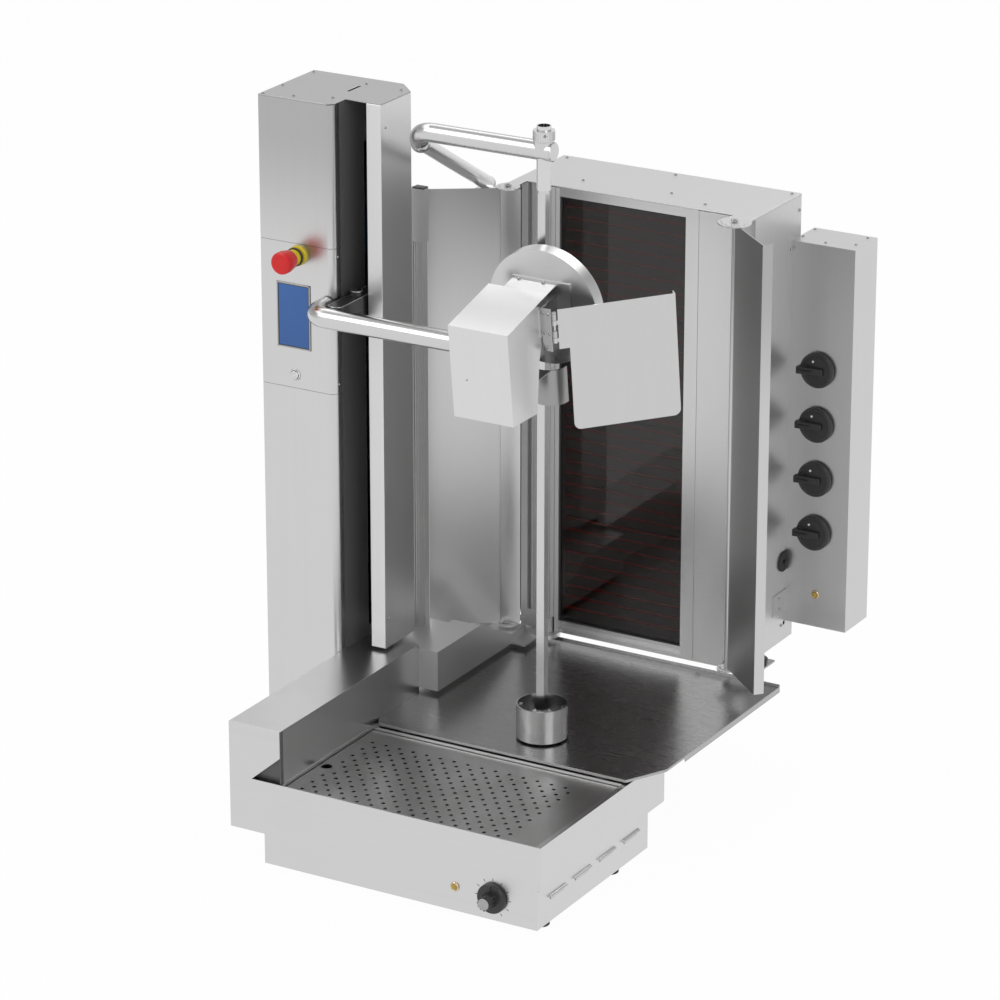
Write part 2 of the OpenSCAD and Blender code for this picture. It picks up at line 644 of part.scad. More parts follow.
// Tower front: three covers one above the other, rounded towards the channel
seam_up = [588, 855];
seam_gap = 0.6;
front_ret = 24;
stop_body_r = 11;
module front_cover(z0, z1) difference() {
  union() {
    bx(left_x, tower_fy, z0, tower_rx - tower_r, tower_fy + sheet_t, z1);
    intersection() {
      difference() {
        rod_z(tower_rx - tower_r, tower_fy + tower_r, z0, z1, tower_r);
        rod_z(tower_rx - tower_r, tower_fy + tower_r, z0 - cut, z1 + cut, tower_r - liner_t);
      }
      bx(tower_rx - tower_r, tower_fy, z0, tower_rx, tower_fy + tower_r, z1);
    }
    bx(tower_rx - liner_t, tower_fy + tower_r, z0, tower_rx, tower_fy + front_ret, z1);
  }
  bx(scr_cx - screen_w / 2 + sheet_t, tower_fy - cut, scr_cz - screen_h / 2 + sheet_t,
    scr_cx + screen_w / 2 - sheet_t, tower_fy + sheet_t + cut, scr_cz + screen_h / 2 - sheet_t);
  rod_y(stop_x, tower_fy - cut, tower_fy + sheet_t + cut, stop_z, stop_body_r + fit_gap);
  rod_y(start_x, tower_fy - cut, tower_fy + sheet_t + cut, start_z, start_pr + fit_gap);
}
module tower_front() color("silver") {
  front_cover(foot_h, tray_tz + seam_up[0] - seam_gap);
  front_cover(tray_tz + seam_up[0], tray_tz + seam_up[1] - seam_gap);
  front_cover(tray_tz + seam_up[1], tower_tz - sheet_t);
}

// Tower top: one plate over the column, the channel and the cover
chan_ch = 36;
vent_in = 26;
vent_back = 45;
vent = [5, 42];
cover_lx = tower_rx + channel_w;
cover_rx = cover_lx + cover_w;
cover_fy = tower_fy + cover_back;
module tower_top() color("silver") translate([0, 0, tower_tz - sheet_t]) linear_extrude(sheet_t) difference() {
  polygon([[left_x, tower_fy], [tower_rx - tower_r, tower_fy], [tower_rx, tower_fy + tower_r],
    [tower_rx, cover_fy], [cover_rx, cover_fy], [cover_rx, tower_by - chan_ch],
    [cover_rx - chan_ch, tower_by], [left_x, tower_by]]);
  translate([tower_rx - vent_in, cover_fy + vent_back]) square(vent);
}

// Black liner that closes the column towards the channel, with the lift's slot
slot_back = 113;
slot_hw = 9;
slot_above = 20;
slot_below = 90;
slot_y = tower_fy + slot_back;
slot_bz = wall_tz + slot_above;
slot_tz = tower_tz - slot_below;
module channel_liner() color("black") difference() {
  bx(tower_rx - liner_t, tower_fy + front_ret + fit_gap, foot_h, tower_rx, tower_by, tower_tz - sheet_t);
  bx(tower_rx - liner_t - cut, slot_y - slot_hw, slot_bz, tower_rx + cut, slot_y + slot_hw, slot_tz);
}

// Channel back and the hollow cover on its far side
cover_gap = 6;
chan_skew = sheet_t * tan(22.5);
cover_bz = wall_tz + cover_gap;
module channel_cover() color("silver") difference() {
  translate([0, 0, cover_bz]) linear_extrude(tower_tz - sheet_t - cover_bz)
    polygon([[cover_lx, cover_fy], [cover_rx, cover_fy], [cover_rx, tower_by - chan_ch],
      [cover_rx - chan_ch, tower_by], [tower_rx, tower_by], [tower_rx, tower_by - sheet_t],
      [cover_rx - chan_ch - chan_skew, tower_by - sheet_t],
      [cover_lx, tower_by - chan_ch + cover_w - sheet_t - chan_skew]]);
  bx(cover_lx + sheet_t, cover_fy + sheet_t, cover_bz + sheet_t, cover_rx - sheet_t,
    tower_by - chan_ch - sheet_t, tower_tz - 2 * sheet_t);
}

// Touch screen set into the front cover
screen_side = 67;
screen_up = 721;
screen_face = 1;
screen_depth = 12;
scr_cx = left_x + screen_side;
scr_cz = tray_tz + screen_up;
module screen() color("steelblue") {
  bx(scr_cx - screen_w / 2, tower_fy - screen_face, scr_cz - screen_h / 2, scr_cx + screen_w / 2, tower_fy,
    scr_cz + screen_h / 2);
  bx(scr_cx - screen_w / 2 + sheet_t + fit_gap, tower_fy, scr_cz - screen_h / 2 + sheet_t + fit_gap,
    scr_cx + screen_w / 2 - sheet_t - fit_gap, tower_fy + screen_depth,
    scr_cz + screen_h / 2 - sheet_t - fit_gap);
}

// Emergency stop: stepped collar and body in the cover, mushroom head that presses in
stop_side = 78;
stop_over = 53;
stop_reach = 60;
stop_press = 4;
stop_stem_r = 7;
stop_stem_in = 12;
collar1 = [18, 6];
collar2 = [14, 18];
stop_body_d = 34;
stop_x = left_x + stop_side;
stop_z = scr_cz + screen_h / 2 + stop_over;
stop_fy = tower_fy - collar1[1] - collar2[1];
module stop_base() color("gold") difference() {
  union() {
    rod_y(stop_x, tower_fy - collar1[1], tower_fy, stop_z, collar1[0]);
    rod_y(stop_x, stop_fy, tower_fy - collar1[1], stop_z, collar2[0]);
    rod_y(stop_x, tower_fy, tower_fy + stop_body_d, stop_z, stop_body_r);
  }
  rod_y(stop_x, stop_fy - cut, tower_fy + stop_stem_in + 2 * stop_press, stop_z, stop_stem_r + fit_gap);
}
module stop_head() color("red") {
  rod_y(stop_x, tower_fy - stop_reach, stop_fy - stop_press - move_gap, stop_z, stop_r);
  rod_y(stop_x, stop_fy - stop_press - move_gap, tower_fy + stop_stem_in, stop_z, stop_stem_r);
}

// Start button: plunger that presses into the cover
start_side = 67.5;
start_under = 49;
start_rim = 1.5;
start_reach = 4;
start_in = 8;
start_x = left_x + start_side;
start_z = scr_cz - screen_h / 2 - start_under;
start_pr = start_r - start_rim;
module start_button() color("gainsboro")
  rod_y(start_x, tower_fy - start_reach, tower_fy + start_in, start_z, start_pr);

// Two guide rods between end blocks that span to the column's wall
rod_in = 30;
rod_r = 7;
lift_in = 52;
rod_up = 60;
rod_drop = 12;
end_h = 18;
lift_x = tower_rx - lift_in;
rod_bz = foot_h + 2 * sheet_t + rod_up;
rod_tz = tower_tz - sheet_t - rod_drop;
module guide_rods() color("gainsboro") {
  for (s = [-1, 1])
    rod_z(lift_x, slot_y + s * rod_in, rod_bz - end_h, rod_tz, rod_r);
  for (z = [rod_bz - end_h, rod_tz - end_h])
    difference() {
      bx(left_x + sheet_t, slot_y - rod_in - 2 * rod_r, z, lift_x + 2 * rod_r, slot_y + rod_in + 2 * rod_r,
        z + end_h);
      rod_z(lift_x, slot_y, z - cut, z + end_h + cut, screw_r + fit_gap);
    }
}

// Lead screw standing between the guide rods, turned by the motor below
screw_end = 20;
module lead_screw() color("gainsboro")
  rod_z(lift_x, slot_y, rod_bz - end_h - screw_end, rod_tz, screw_r);

// Lift motor on the tower's floor
lift_motor_hw = 29;
lift_motor_gap = 4;
module lift_motor() color("dimgray") difference() {
  bx(lift_x - lift_motor_hw, slot_y - lift_motor_hw, foot_h + 2 * sheet_t, lift_x + lift_motor_hw,
    slot_y + lift_motor_hw, rod_bz - end_h - lift_motor_gap);
  rod_z(lift_x, slot_y, rod_bz - end_h - screw_end - move_gap, rod_bz, screw_r + fit_gap);
}

// Lift block: travelling nut, neck through the slot, and the guide bar with its rail
nut_hw = 18;
nut_side = 14;
nut_hh = 36;
slider_down = 11;
slider_up = 14;
bar_h = 16;
bar_front = 6;
bar_rear = 8;
rail_hw = 6;
rail_h = 7;
arm_cz = tray_tz + arm_z;
arm_cy = tray_fy + arm_back;
slider_hw = arm_bend - arm_r;
slider_x = tower_rx + channel_w / 2;
slider_bz = arm_cz - slider_down;
slider_tz = arm_cz + slider_up;
bar_tz = slider_bz - move_gap;
bar_bz = bar_tz - bar_h;
elbow_y = arm_cy + arm_bend;
bar_fy = tower_fy + bar_front;
slider_by = tower_by - sheet_t - bar_rear;
module lift_block() color("black") {
  difference() {
    bx(lift_x - nut_hw, slot_y - rod_in - nut_side, arm_cz - nut_hh, lift_x + nut_hw,
      slot_y + rod_in + nut_side, arm_cz + nut_hh);
    rod_z(lift_x, slot_y, arm_cz - nut_hh - cut, arm_cz + nut_hh + cut, screw_r + fit_gap);
    for (s = [-1, 1])
      rod_z(lift_x, slot_y + s * rod_in, arm_cz - nut_hh - cut, arm_cz + nut_hh + cut, rod_r + fit_gap);
  }
  bx(lift_x + nut_hw, slot_y - slot_hw + 2 * move_gap, bar_bz, slider_x, slot_y + slot_hw - 2 * move_gap,
    bar_tz);
  bx(slider_x - slider_hw, bar_fy, bar_bz, slider_x + slider_hw, slider_by, bar_tz);
  bx(slider_x - rail_hw, bar_fy, bar_tz, slider_x + rail_hw, slider_by, bar_tz + rail_h);
}

// Arm slider: rounded bar that slides on the rail, with the clamp boss on top
boss_r = 11;
boss_h = 9;
boss_back = 40;
module arm_slider() color("black") difference() {
  union() {
    bx(slider_x - slider_hw, elbow_y, slider_bz, slider_x + slider_hw, slider_by, slider_tz);
    rod_z(slider_x, elbow_y, slider_bz, slider_tz, slider_hw);
    rod_z(slider_x, tower_fy + boss_back, slider_tz, slider_tz + boss_h, boss_r);
  }
  bx(slider_x - rail_hw - move_gap, bar_fy - bar_rear, slider_bz - cut, slider_x + rail_hw + move_gap,
    slider_by + cut, slider_bz + rail_h);
}

// Arm tube: straight tube, bend round the slider's nose and a short leg with a cap
head_in = 272;
arm_over = 40;
leg_gap = 4;
head_lx = tray_rx - head_in;
head_rx = head_lx + head_w;
module arm_tube() color("gainsboro") {
  rod_x(slider_x, head_lx + arm_over, arm_cy, arm_cz, arm_r);
  translate([slider_x, elbow_y, arm_cz]) rotate([0, 0, 180]) rotate_extrude(angle = 90)
    translate([arm_bend, 0]) circle(r = arm_r);
  rod_y(slider_x - arm_bend, elbow_y, tower_fy - leg_gap, arm_cz, arm_r);
}

// Slicer head: every piece is built upright and leaned about the arm tube
module head_frame() translate([0, arm_cy, arm_cz]) rotate([head_lean, 0, 0]) children();
module side_solid(pts, x0, x1) translate([x0, 0, 0]) rotate([90, 0, 90]) linear_extrude(x1 - x0) polygon(pts);
side_fy = -130;
side_fz = [-69.5, 98.5];
side_top = [8.5, 118];
side_mid = [-33, 8];
side_low = [-49, -79.5];
socket_hw = 24;
socket_by = 22;
shaft_side = 186;
shaft_z = 76;
shaft_r = 8;
tube_r = 22;
flange_y = 36;
shelf_x0 = 30;
shaft_x = tray_rx - shaft_side;
head_pts = [[side_fy, side_fz[0]], [side_fy, side_fz[1]], side_top, side_mid, side_low];
function sunk(t) = [[side_fy + t, side_fz[0] + t / 2], [side_fy + t, side_fz[1] - t],
  [side_top[0] - 2 * t, side_top[1] - 2 * t], [side_mid[0] - t, side_mid[1]], [side_low[0] - t, side_low[1] + t]];
module head_box() color("silver") head_frame() {
  difference() {
    side_solid(head_pts, head_lx, head_rx);
    side_solid(sunk(sheet_t), head_lx + sheet_t, head_rx - sheet_t);
    rod_x(head_lx - cut, head_lx + arm_over + move_gap, 0, 0, arm_r + fit_gap);
    rod_y(shaft_x, side_mid[0] - tube_r, side_top[0], shaft_z, tube_r);
  }
  difference() {
    side_solid([[side_mid[0] - socket_hw, -socket_hw], [side_mid[0] - socket_hw, socket_hw],
      [socket_by, socket_hw], [socket_by, -socket_hw]], head_lx + sheet_t / 2, head_lx + arm_over + sheet_t);
    rod_x(head_lx - cut, head_lx + arm_over + move_gap, 0, 0, arm_r + fit_gap);
  }
  difference() {
    rod_y(shaft_x, side_mid[0] - tube_r, flange_y, shaft_z, tube_r);
    rod_y(shaft_x, side_mid[0] - tube_r - cut, flange_y + cut, shaft_z, shaft_r + fit_gap);
  }
}

// Blade guard: flange plate, gusset and shelf to the box, and a shallow drum open at the back
guard_d = 25;
flange_t = 3;
flange_side = 27;
flange_tz = 127;
flange_bz = 40;
gusset_fz = [52, 102];
gusset_fy = -26;
rim_low = -30;
guard_y = flange_y + flange_t;
shelf_tz = side_top[1] + (flange_y - side_top[0]) * (side_top[1] - side_fz[1]) / (side_top[0] - side_fy);
module blade_guard() color("gainsboro") head_frame() difference() {
  union() {
    bx(head_lx + shelf_x0, flange_y, flange_bz, head_rx + flange_side, guard_y, flange_tz);
    bx(head_rx, gusset_fy, gusset_fz[0], head_rx + sheet_t, flange_y, gusset_fz[1]);
    side_solid([[side_top[0], side_top[1] - sheet_t], side_top, [flange_y, shelf_tz],
      [flange_y, shelf_tz - sheet_t]], head_lx + shelf_x0, head_rx);
    rod_y(shaft_x, guard_y, guard_y + sheet_t, shaft_z, guard_r);
    difference() {
      rod_y(shaft_x, guard_y, guard_y + guard_d, shaft_z, guard_r);
      rod_y(shaft_x, guard_y - cut, guard_y + guard_d + cut, shaft_z, guard_r - sheet_t);
      bx(shaft_x - 2 * guard_r, guard_y - cut, shaft_z - 2 * guard_r, shaft_x + 2 * guard_r,
        guard_y + guard_d + cut, shaft_z + rim_low);
    }
  }
  rod_y(shaft_x, flange_y - cut, guard_y + sheet_t + cut, shaft_z, shaft_r + 2 * fit_gap);
}

// Motor and gearbox inside the head's box
motor_fy = -118;
motor_by = -62;
hmotor_r = 34;
hmotor_z = 42;
gear_hz = 24;
gear_fy = -74;
head_mx = head_lx + head_w / 2;
module head_motor() color("dimgray") head_frame() {
  rod_y(head_mx, motor_fy, gear_fy, hmotor_z, hmotor_r);
  difference() {
    bx(shaft_x - tube_r, gear_fy, hmotor_z - gear_hz, shaft_x + tube_r, side_mid[0] - tube_r,
      shaft_z + tube_r / 2);
    rod_y(shaft_x, gear_fy + sheet_t, side_mid[0], shaft_z, shaft_r + fit_gap);
  }
}

// Round blade on its shaft, with the clamp disc behind it
blade_t = 2;
clamp_r = 16;
blade_out = 2;
blade_y = guard_y + guard_d + blade_out;
module blade() color("gainsboro") head_frame() {
  rod_y(shaft_x, gear_fy + 2 * sheet_t, blade_y + 2 * blade_t, shaft_z, shaft_r);
  rod_y(shaft_x, blade_y, blade_y + blade_t, shaft_z, blade_r);
  rod_y(shaft_x, guard_y + 2 * sheet_t, blade_y, shaft_z, clamp_r);
}

// Two flap hinges: fixed leaf on the gusset and bored barrel
hinge_side = 24;
hinge_y = -16;
barrel_r = 4;
pin_r = 2;
hinge_up = 52;
hinge_step = 32;
hinge_h = 12;
hinge_x = head_rx + hinge_side;
hinge_zs = [hinge_up, hinge_up + hinge_step];
module flap_hinges() color("gray") head_frame() for (z = hinge_zs) difference() {
  union() {
    bx(head_rx + sheet_t, hinge_y - sheet_t, z, hinge_x, hinge_y, z + hinge_h);
    rod_z(hinge_x, hinge_y, z, z + hinge_h, barrel_r);
  }
  rod_z(hinge_x, hinge_y, z - cut, z + hinge_h + cut, pin_r + fit_gap);
}

// Slice flap: large plate beside the blade, with its pin, two knuckles and a folded end
flap_angle = 41.5;
flap_notch = [18, 72];
flap_rc = 12;
flap_tz = 102;
knuckle_h = 9;
flap_fold = 12;
flap_x0 = barrel_r + sheet_t;
flap_bz = flap_tz - flap_h;
knuckle_zs = [for (z = hinge_zs) z - move_gap - knuckle_h];
corner_n = 8;
function corner_pts(x, a) = [for (i = [0:corner_n])
  [x + flap_rc * cos(a + 90 * i / corner_n), flap_bz + flap_rc + flap_rc * sin(a + 90 * i / corner_n)]];
module slice_flap() color("silver") head_frame() translate([hinge_x, hinge_y, 0]) {
  rod_z(0, 0, knuckle_zs[0], hinge_zs[1] + hinge_h + sheet_t, pin_r);
  rod_z(0, 0, hinge_zs[1] + hinge_h + move_gap, hinge_zs[1] + hinge_h + sheet_t, barrel_r);
  for (z = knuckle_zs) {
    rod_z(0, 0, z, z + knuckle_h, barrel_r);
    rotate([0, 0, flap_angle]) bx((pin_r + barrel_r) / 2, -sheet_t / 2, z + cut, flap_x0 + cut, sheet_t / 2,
      z + knuckle_h - cut);
  }
  rotate([0, 0, flap_angle]) {
    translate([0, sheet_t / 2, 0]) rotate([90, 0, 0]) linear_extrude(sheet_t)
      polygon(concat([[flap_x0, flap_tz], [flap_x0, flap_tz - flap_notch[1]],
        [flap_x0 + flap_notch[0], flap_tz - flap_notch[1]]],
        corner_pts(flap_x0 + flap_notch[0] + flap_rc, 180), corner_pts(flap_l - flap_rc, 270),
        [[flap_l, flap_tz]]));
    bx(flap_l - sheet_t, -sheet_t / 2, flap_bz + 2 * flap_rc, flap_l, flap_fold, flap_tz);
  }
}

// Small curved guard behind the head's box, below the blade's axis
sg_r = 32;
sg_side = 8;
sg_back = 38;
sg_bz = -92;
sg_tz = -26;
sg_x = shaft_x + sg_side;
sg_seat = side_mid[0] - (side_mid[1] - sg_tz) * (side_mid[0] - side_low[0]) / (side_mid[1] - side_low[1]);
module small_guard() color("silver") head_frame() {
  difference() {
    rod_z(sg_x, sg_back, sg_bz, sg_tz, sg_r);
    rod_z(sg_x, sg_back, sg_bz - cut, sg_tz + cut, sg_r - sheet_t);
    bx(sg_x - 2 * sg_r, sg_back, sg_bz - cut, sg_x + 2 * sg_r, sg_back + 2 * sg_r, sg_tz + cut);
  }
  bx(sg_x - sg_r / 2, sg_seat, sg_tz - sheet_t, sg_x + sg_r / 2, sg_back - sg_r + sheet_t, sg_tz);
}

// Arm bracket: block behind the raised wall, tapered arm, foot plate and pivot disc with its pin
ab_gap = 8;
ab_h = 76;
ab_side = 479;
ab_w = 58;
ab_len = 151;
ab_tip = [263, 319];
ab_low = 20;
ab_nose = 18;
ab_wide = 135;
piv_side = 66;
piv_front = 4;
piv_r = 30;
piv_pin_r = 8;
piv_pin_h = 26;
piv_open = 10;
ab_bz = plate_tz + ab_gap;
arm_fz = ab_bz + 2 * sheet_t;
ab_tz = ab_bz + ab_h;
ab_rx = tray_rx - ab_side;
ab_ix = ab_rx - ab_w;
piv_x = grill_lx + piv_side;
piv_y = grill_fy - piv_front;
foot_z = tray_tz + grill_foot;
disc_tz = foot_z - move_gap;
module arm_bracket() color("silver") {
  difference() {
    union() {
      bx(tray_lx, wall_by, ab_bz, ab_rx, wall_by + ab_wide, ab_tz);
      translate([ab_ix, 0, 0]) rotate([90, 0, 90]) linear_extrude(ab_rx - ab_ix)
        polygon([[wall_by, ab_bz], [wall_by + ab_tip[1], ab_bz], [wall_by + ab_tip[1], ab_bz + ab_nose],
          [wall_by + ab_tip[0], ab_bz + ab_low], [wall_by + ab_len, ab_tz], [wall_by, ab_tz]]);
    }
    bx(tray_lx + sheet_t, wall_by + sheet_t, ab_bz + 2 * sheet_t, ab_rx - sheet_t,
      wall_by + ab_wide - sheet_t, ab_tz - sheet_t);
  }
  bx(col_x - col_w / 2 - 4 * sheet_t, wall_by + ab_tip[0], ab_bz, piv_x, col_y + col_w / 2, arm_fz);
  rod_z(piv_x, piv_y, ab_bz, disc_tz, piv_r);
  rod_z(piv_x, piv_y, disc_tz, disc_tz + piv_pin_h, piv_pin_r);
}

// Slim ribbed post in front of the left wing, with a lighter head
gp_side = 570;
gp_back = 565;
gp_hw = 10;
gp_hd = 7;
gp_rise = [824, 922];
post_rib_shares = [-0.55, 0, 0.55];
rib = 1.5;
gp_x = tray_rx - gp_side;
gp_y = tray_fy + gp_back;
module guard_post() color("gray") {
  difference() {
    bx(gp_x - gp_hw, gp_y - gp_hd, ab_tz, gp_x + gp_hw, gp_y + gp_hd, tray_tz + gp_rise[0]);
    for (s = post_rib_shares)
      bx(gp_x + s * gp_hw - rib, gp_y - gp_hd - cut, ab_tz + 2 * sheet_t, gp_x + s * gp_hw + rib,
        gp_y - gp_hd + rib, tray_tz + gp_rise[0] + cut);
  }
  bx(gp_x - gp_hw - rib, gp_y - gp_hd - rib, tray_tz + gp_rise[0], gp_x + gp_hw + rib, gp_y + gp_hd + rib,
    tray_tz + gp_rise[1]);
}

// Index plate: round plate with a pin bore and index holes, on a neck to the grill's front
index_t = 3;
wpin_r = 3;
index_hole_r = 2;
index_edge = 6;
module index_plate(x, y, r, z, w) difference() {
  union() {
    rod_z(x, y, z, z + index_t, r);
    bx(x - w, y, z, x + w, grill_fy, z + index_t);
  }
  rod_z(x, y, z - cut, z + index_t + cut, wpin_r + fit_gap);
  for (a = [200:28:340])
    translate([x + (r - index_edge) * cos(a), y + (r - index_edge) * sin(a), z - cut])
      cylinder(r = index_hole_r, h = index_t + 2 * cut);
}

// Grill housing: back, sides and floor of bent sheet, with the right wing's lower index plate
house_up = 38;
house_lap = 38;
gland_r = 9;
gland_front = 8;
gland_hole_up = 196;
drain_r = 4;
drain_up = 72;
drain_in = 3;
wing_up = 43;
wr_side = 22.5;
wr_front = 37;
lower_r = 18;
lower_w = 14;
grill_tz = tray_tz + grill_top;
house_bz = tray_tz + house_up;
wr_x = grill_rx - wr_side;
wr_y = grill_fy - wr_front;
wing_bz = tray_tz + wing_up;
lower_z = wing_bz - move_gap - index_t;
gland_y = ctrl_fy - gland_front;
gland_z = tray_tz + gland_hole_up;
module grill_housing() color("silver") difference() {
  union() {
    difference() {
      bx(grill_lx, grill_fy + frame_d, house_bz, grill_rx, grill_by, grill_tz - sheet_t);
      bx(grill_lx + sheet_t, grill_fy + frame_d - cut, house_bz + sheet_t, grill_rx - sheet_t,
        grill_by - sheet_t, grill_tz);
    }
    bx(grill_lx, grill_fy, house_bz, grill_lx + sheet_t, grill_fy + frame_d, grill_tz - sheet_t);
    bx(grill_rx - sheet_t, grill_fy, house_bz, grill_rx, grill_fy + frame_d, grill_tz - sheet_t);
    bx(grill_rx - house_lap, grill_fy, house_bz, grill_rx, grill_fy + sheet_t, grill_tz - index_t);
    index_plate(wr_x, wr_y, lower_r, lower_z, lower_w);
  }
  rod_x(grill_rx - sheet_t - cut, grill_rx + cut, gland_y, gland_z, gland_r + fit_gap);
  rod_x(grill_rx - sheet_t - cut, grill_rx + cut, ctrl_fy + drain_in, tray_tz + drain_up, drain_r);
  rod_z(knob5_x, knob5_y, house_bz - cut, house_bz + sheet_t + cut, stud_r + fit_gap);
}

// Grill top plate with the upper index plates of both wings
wl_side = 12;
wl_front = 46;
index_l_r = 22;
index_r_r = 30;
index_l_w = 12;
index_r_w = 22;
wl_x = grill_lx + wl_side;
wl_y = grill_fy - wl_front;
module grill_top_plate() color("silver") {
  bx(grill_lx, grill_fy, grill_tz - sheet_t, grill_rx, grill_by, grill_tz);
  index_plate(wl_x, wl_y, index_l_r, grill_tz - index_t, index_l_w);
  index_plate(wr_x, wr_y, index_r_r, grill_tz - index_t, index_r_w);
}

// Left pillar: profile with a deep groove and fine ribs, pivot bore and lower index plate
pil_gap = 13.5;
pil_lx = grill_lx + pil_gap;
pil_rx = pil_lx + pillar_w;
fine_rib_shares = [0.56, 0.66, 0.76, 0.88];
groove_shares = [0.17, 0.28, 0.4];
step_shares = [0.32, 0.48, 0.2];
module frame_pillar() color("silver") {
  difference() {
    bx(pil_lx, grill_fy, foot_z, pil_rx, grill_fy + frame_d, grill_tz - index_t);
    for (g = [groove_shares, step_shares])
      bx(pil_lx + pillar_w * g[0], grill_fy - cut, foot_z + piv_pin_h + 4 * sheet_t,
        pil_lx + pillar_w * g[1], grill_fy + frame_d * g[2], grill_tz);
    for (s = fine_rib_shares)
      bx(pil_lx + pillar_w * s, grill_fy - cut, foot_z - cut, pil_lx + pillar_w * s + rib,
        grill_fy + rib, grill_tz);
    rod_z(piv_x, grill_fy, foot_z - cut, foot_z + piv_pin_h + sheet_t, piv_pin_r + piv_open);
  }
  difference() {
    rod_z(piv_x, piv_y, foot_z, foot_z + piv_pin_h + sheet_t, 2 * piv_pin_r);
    rod_z(piv_x, piv_y, foot_z - cut, foot_z + piv_pin_h + sheet_t - sheet_t / 2, piv_pin_r + fit_gap);
  }
  index_plate(wl_x, wl_y, lower_r, lower_z, index_l_w);
}

// Frame rails: top rail, bottom channel and right post around the glass
rail_top = 17;
rail_bot = 22;
glass_lx = pil_rx;
glass_rx = pil_rx + glass_w;
post_rx = glass_rx + post_w;
glass_bz = foot_z + rail_bot;
glass_tz = grill_tz - sheet_t - rail_top;
module frame_rails() color("silver") difference() {
  bx(glass_lx, grill_fy, foot_z, post_rx, grill_fy + frame_d, grill_tz - sheet_t);
  bx(glass_lx - cut, grill_fy - cut, glass_bz, glass_rx, grill_fy + frame_d + cut, glass_tz);
  bx(glass_lx - cut, grill_fy - cut, foot_z + 4 * sheet_t, glass_rx, grill_fy + frame_d * 0.3,
    glass_bz + cut);
}

// Polished side panel right of the frame, folded back to the housing
panel_rx = post_rx + mirror_w;
module side_panel() color("gainsboro") {
  bx(post_rx, grill_fy, foot_z, panel_rx, grill_fy + sheet_t, grill_tz - index_t);
  bx(panel_rx - sheet_t, grill_fy + sheet_t, foot_z, panel_rx, grill_fy + frame_d, grill_tz - index_t);
  bx(panel_rx, grill_fy, house_bz, grill_rx - house_lap, grill_fy + sheet_t, grill_tz - index_t);
}

// Dark glass in front of the heating wires
glass_in = 6;
module glass() color([0.15, 0.12, 0.12])
  bx(glass_lx, grill_fy + glass_in, glass_bz, glass_rx, grill_fy + glass_in + glass_t, glass_tz);

// Heating wires: evenly spaced thin rods between the ceramic plates and the glass
wire_r = 1.8;
wire_in = 24;
wire_end = 22;
wire_side = 3;
wire_y = grill_fy + wire_in;
wire_z0 = glass_bz + wire_end;
wire_pitch = (glass_tz - wire_end - wire_z0) / (wire_n - 1);
module heating_wires() color("darkred")
  for (i = [0:wire_n - 1])
    rod_x(glass_lx + wire_side, glass_rx - wire_side, wire_y, wire_z0 + i * wire_pitch, wire_r);

// Four ceramic heater plates behind the wires, one for each power knob
zone_n = 4;
zone_gap = 4;
zone_t = 14;
zone_h = (glass_tz - glass_bz) / zone_n;
module heater_plates() color("dimgray")
  for (i = [0:zone_n - 1])
    bx(glass_lx, wire_y + wire_r, glass_bz + i * zone_h, glass_rx, wire_y + wire_r + zone_t,
      glass_bz + (i + 1) * zone_h - zone_gap);

// Wings: sheet with a folded outer edge, turning on pins in the index plates
wing_tube_r = 4.5;
wing_tz = grill_tz - index_t - move_gap;
module wing(len, side) {
  bx(0, -sheet_t / 2, wing_bz, len, sheet_t / 2, wing_tz);
  bx(len - sheet_t, min(0, side * wing_fold), wing_bz, len, max(0, side * wing_fold), wing_tz);
  rod_z(0, 0, wing_bz, wing_tz, wing_tube_r);
  rod_z(0, 0, lower_z - sheet_t, grill_tz + sheet_t, wpin_r);
}
module wing_left() color("silver") translate([wl_x, wl_y, 0]) rotate([0, 0, wing_l_angle]) wing(wing_l, -1);
module wing_right() color("silver") translate([wr_x, wr_y, 0]) rotate([0, 0, wing_r_angle]) wing(wing_r, 1);

// Clamp knob with the stud that runs from the housing's floor down through the base plate's tongue
knob5_in = 16;
knob5_back = 74;
knob5_r = 16;
knob5_h = 15;
stud_r = 4;
stud_nut = 8;
knob5_x = grill_rx - knob5_in;
knob5_y = grill_fy + knob5_back;
module clamp_knob() color("black") {
  rod_z(knob5_x, knob5_y, plate_tz + move_gap + sheet_t, plate_tz + move_gap + sheet_t + knob5_h, knob5_r);
  rod_z(knob5_x, knob5_y, plate_tz - stud_nut - sheet_t, house_bz + 2 * sheet_t, stud_r);
  rod_z(knob5_x, knob5_y, plate_tz - sheet_t - stud_nut - sheet_t, plate_tz - 2 * sheet_t - move_gap,
    2 * stud_r);
}

// Cable gland in the housing's right side: flange outside, bush through the sheet
gland_bore_r = 5;
gland_lip = 10;
gland_t = 3;
gland_l = 14;
module cable_gland() color("black") difference() {
  union() {
    rod_x(grill_rx - gland_l + gland_t, grill_rx, gland_y, gland_z, gland_r);
    difference() {
      rod_x(grill_rx, grill_rx + gland_t, gland_y, gland_z, gland_r + gland_lip);
      bx(grill_rx - cut, ctrl_fy - move_gap, gland_z - 2 * gland_r - gland_lip, grill_rx + gland_t + cut,
        ctrl_fy + gland_r + gland_lip, gland_z + 2 * gland_r + gland_lip);
    }
  }
  rod_x(grill_rx - gland_l, grill_rx + 2 * gland_t, gland_y, gland_z, gland_bore_r);
}

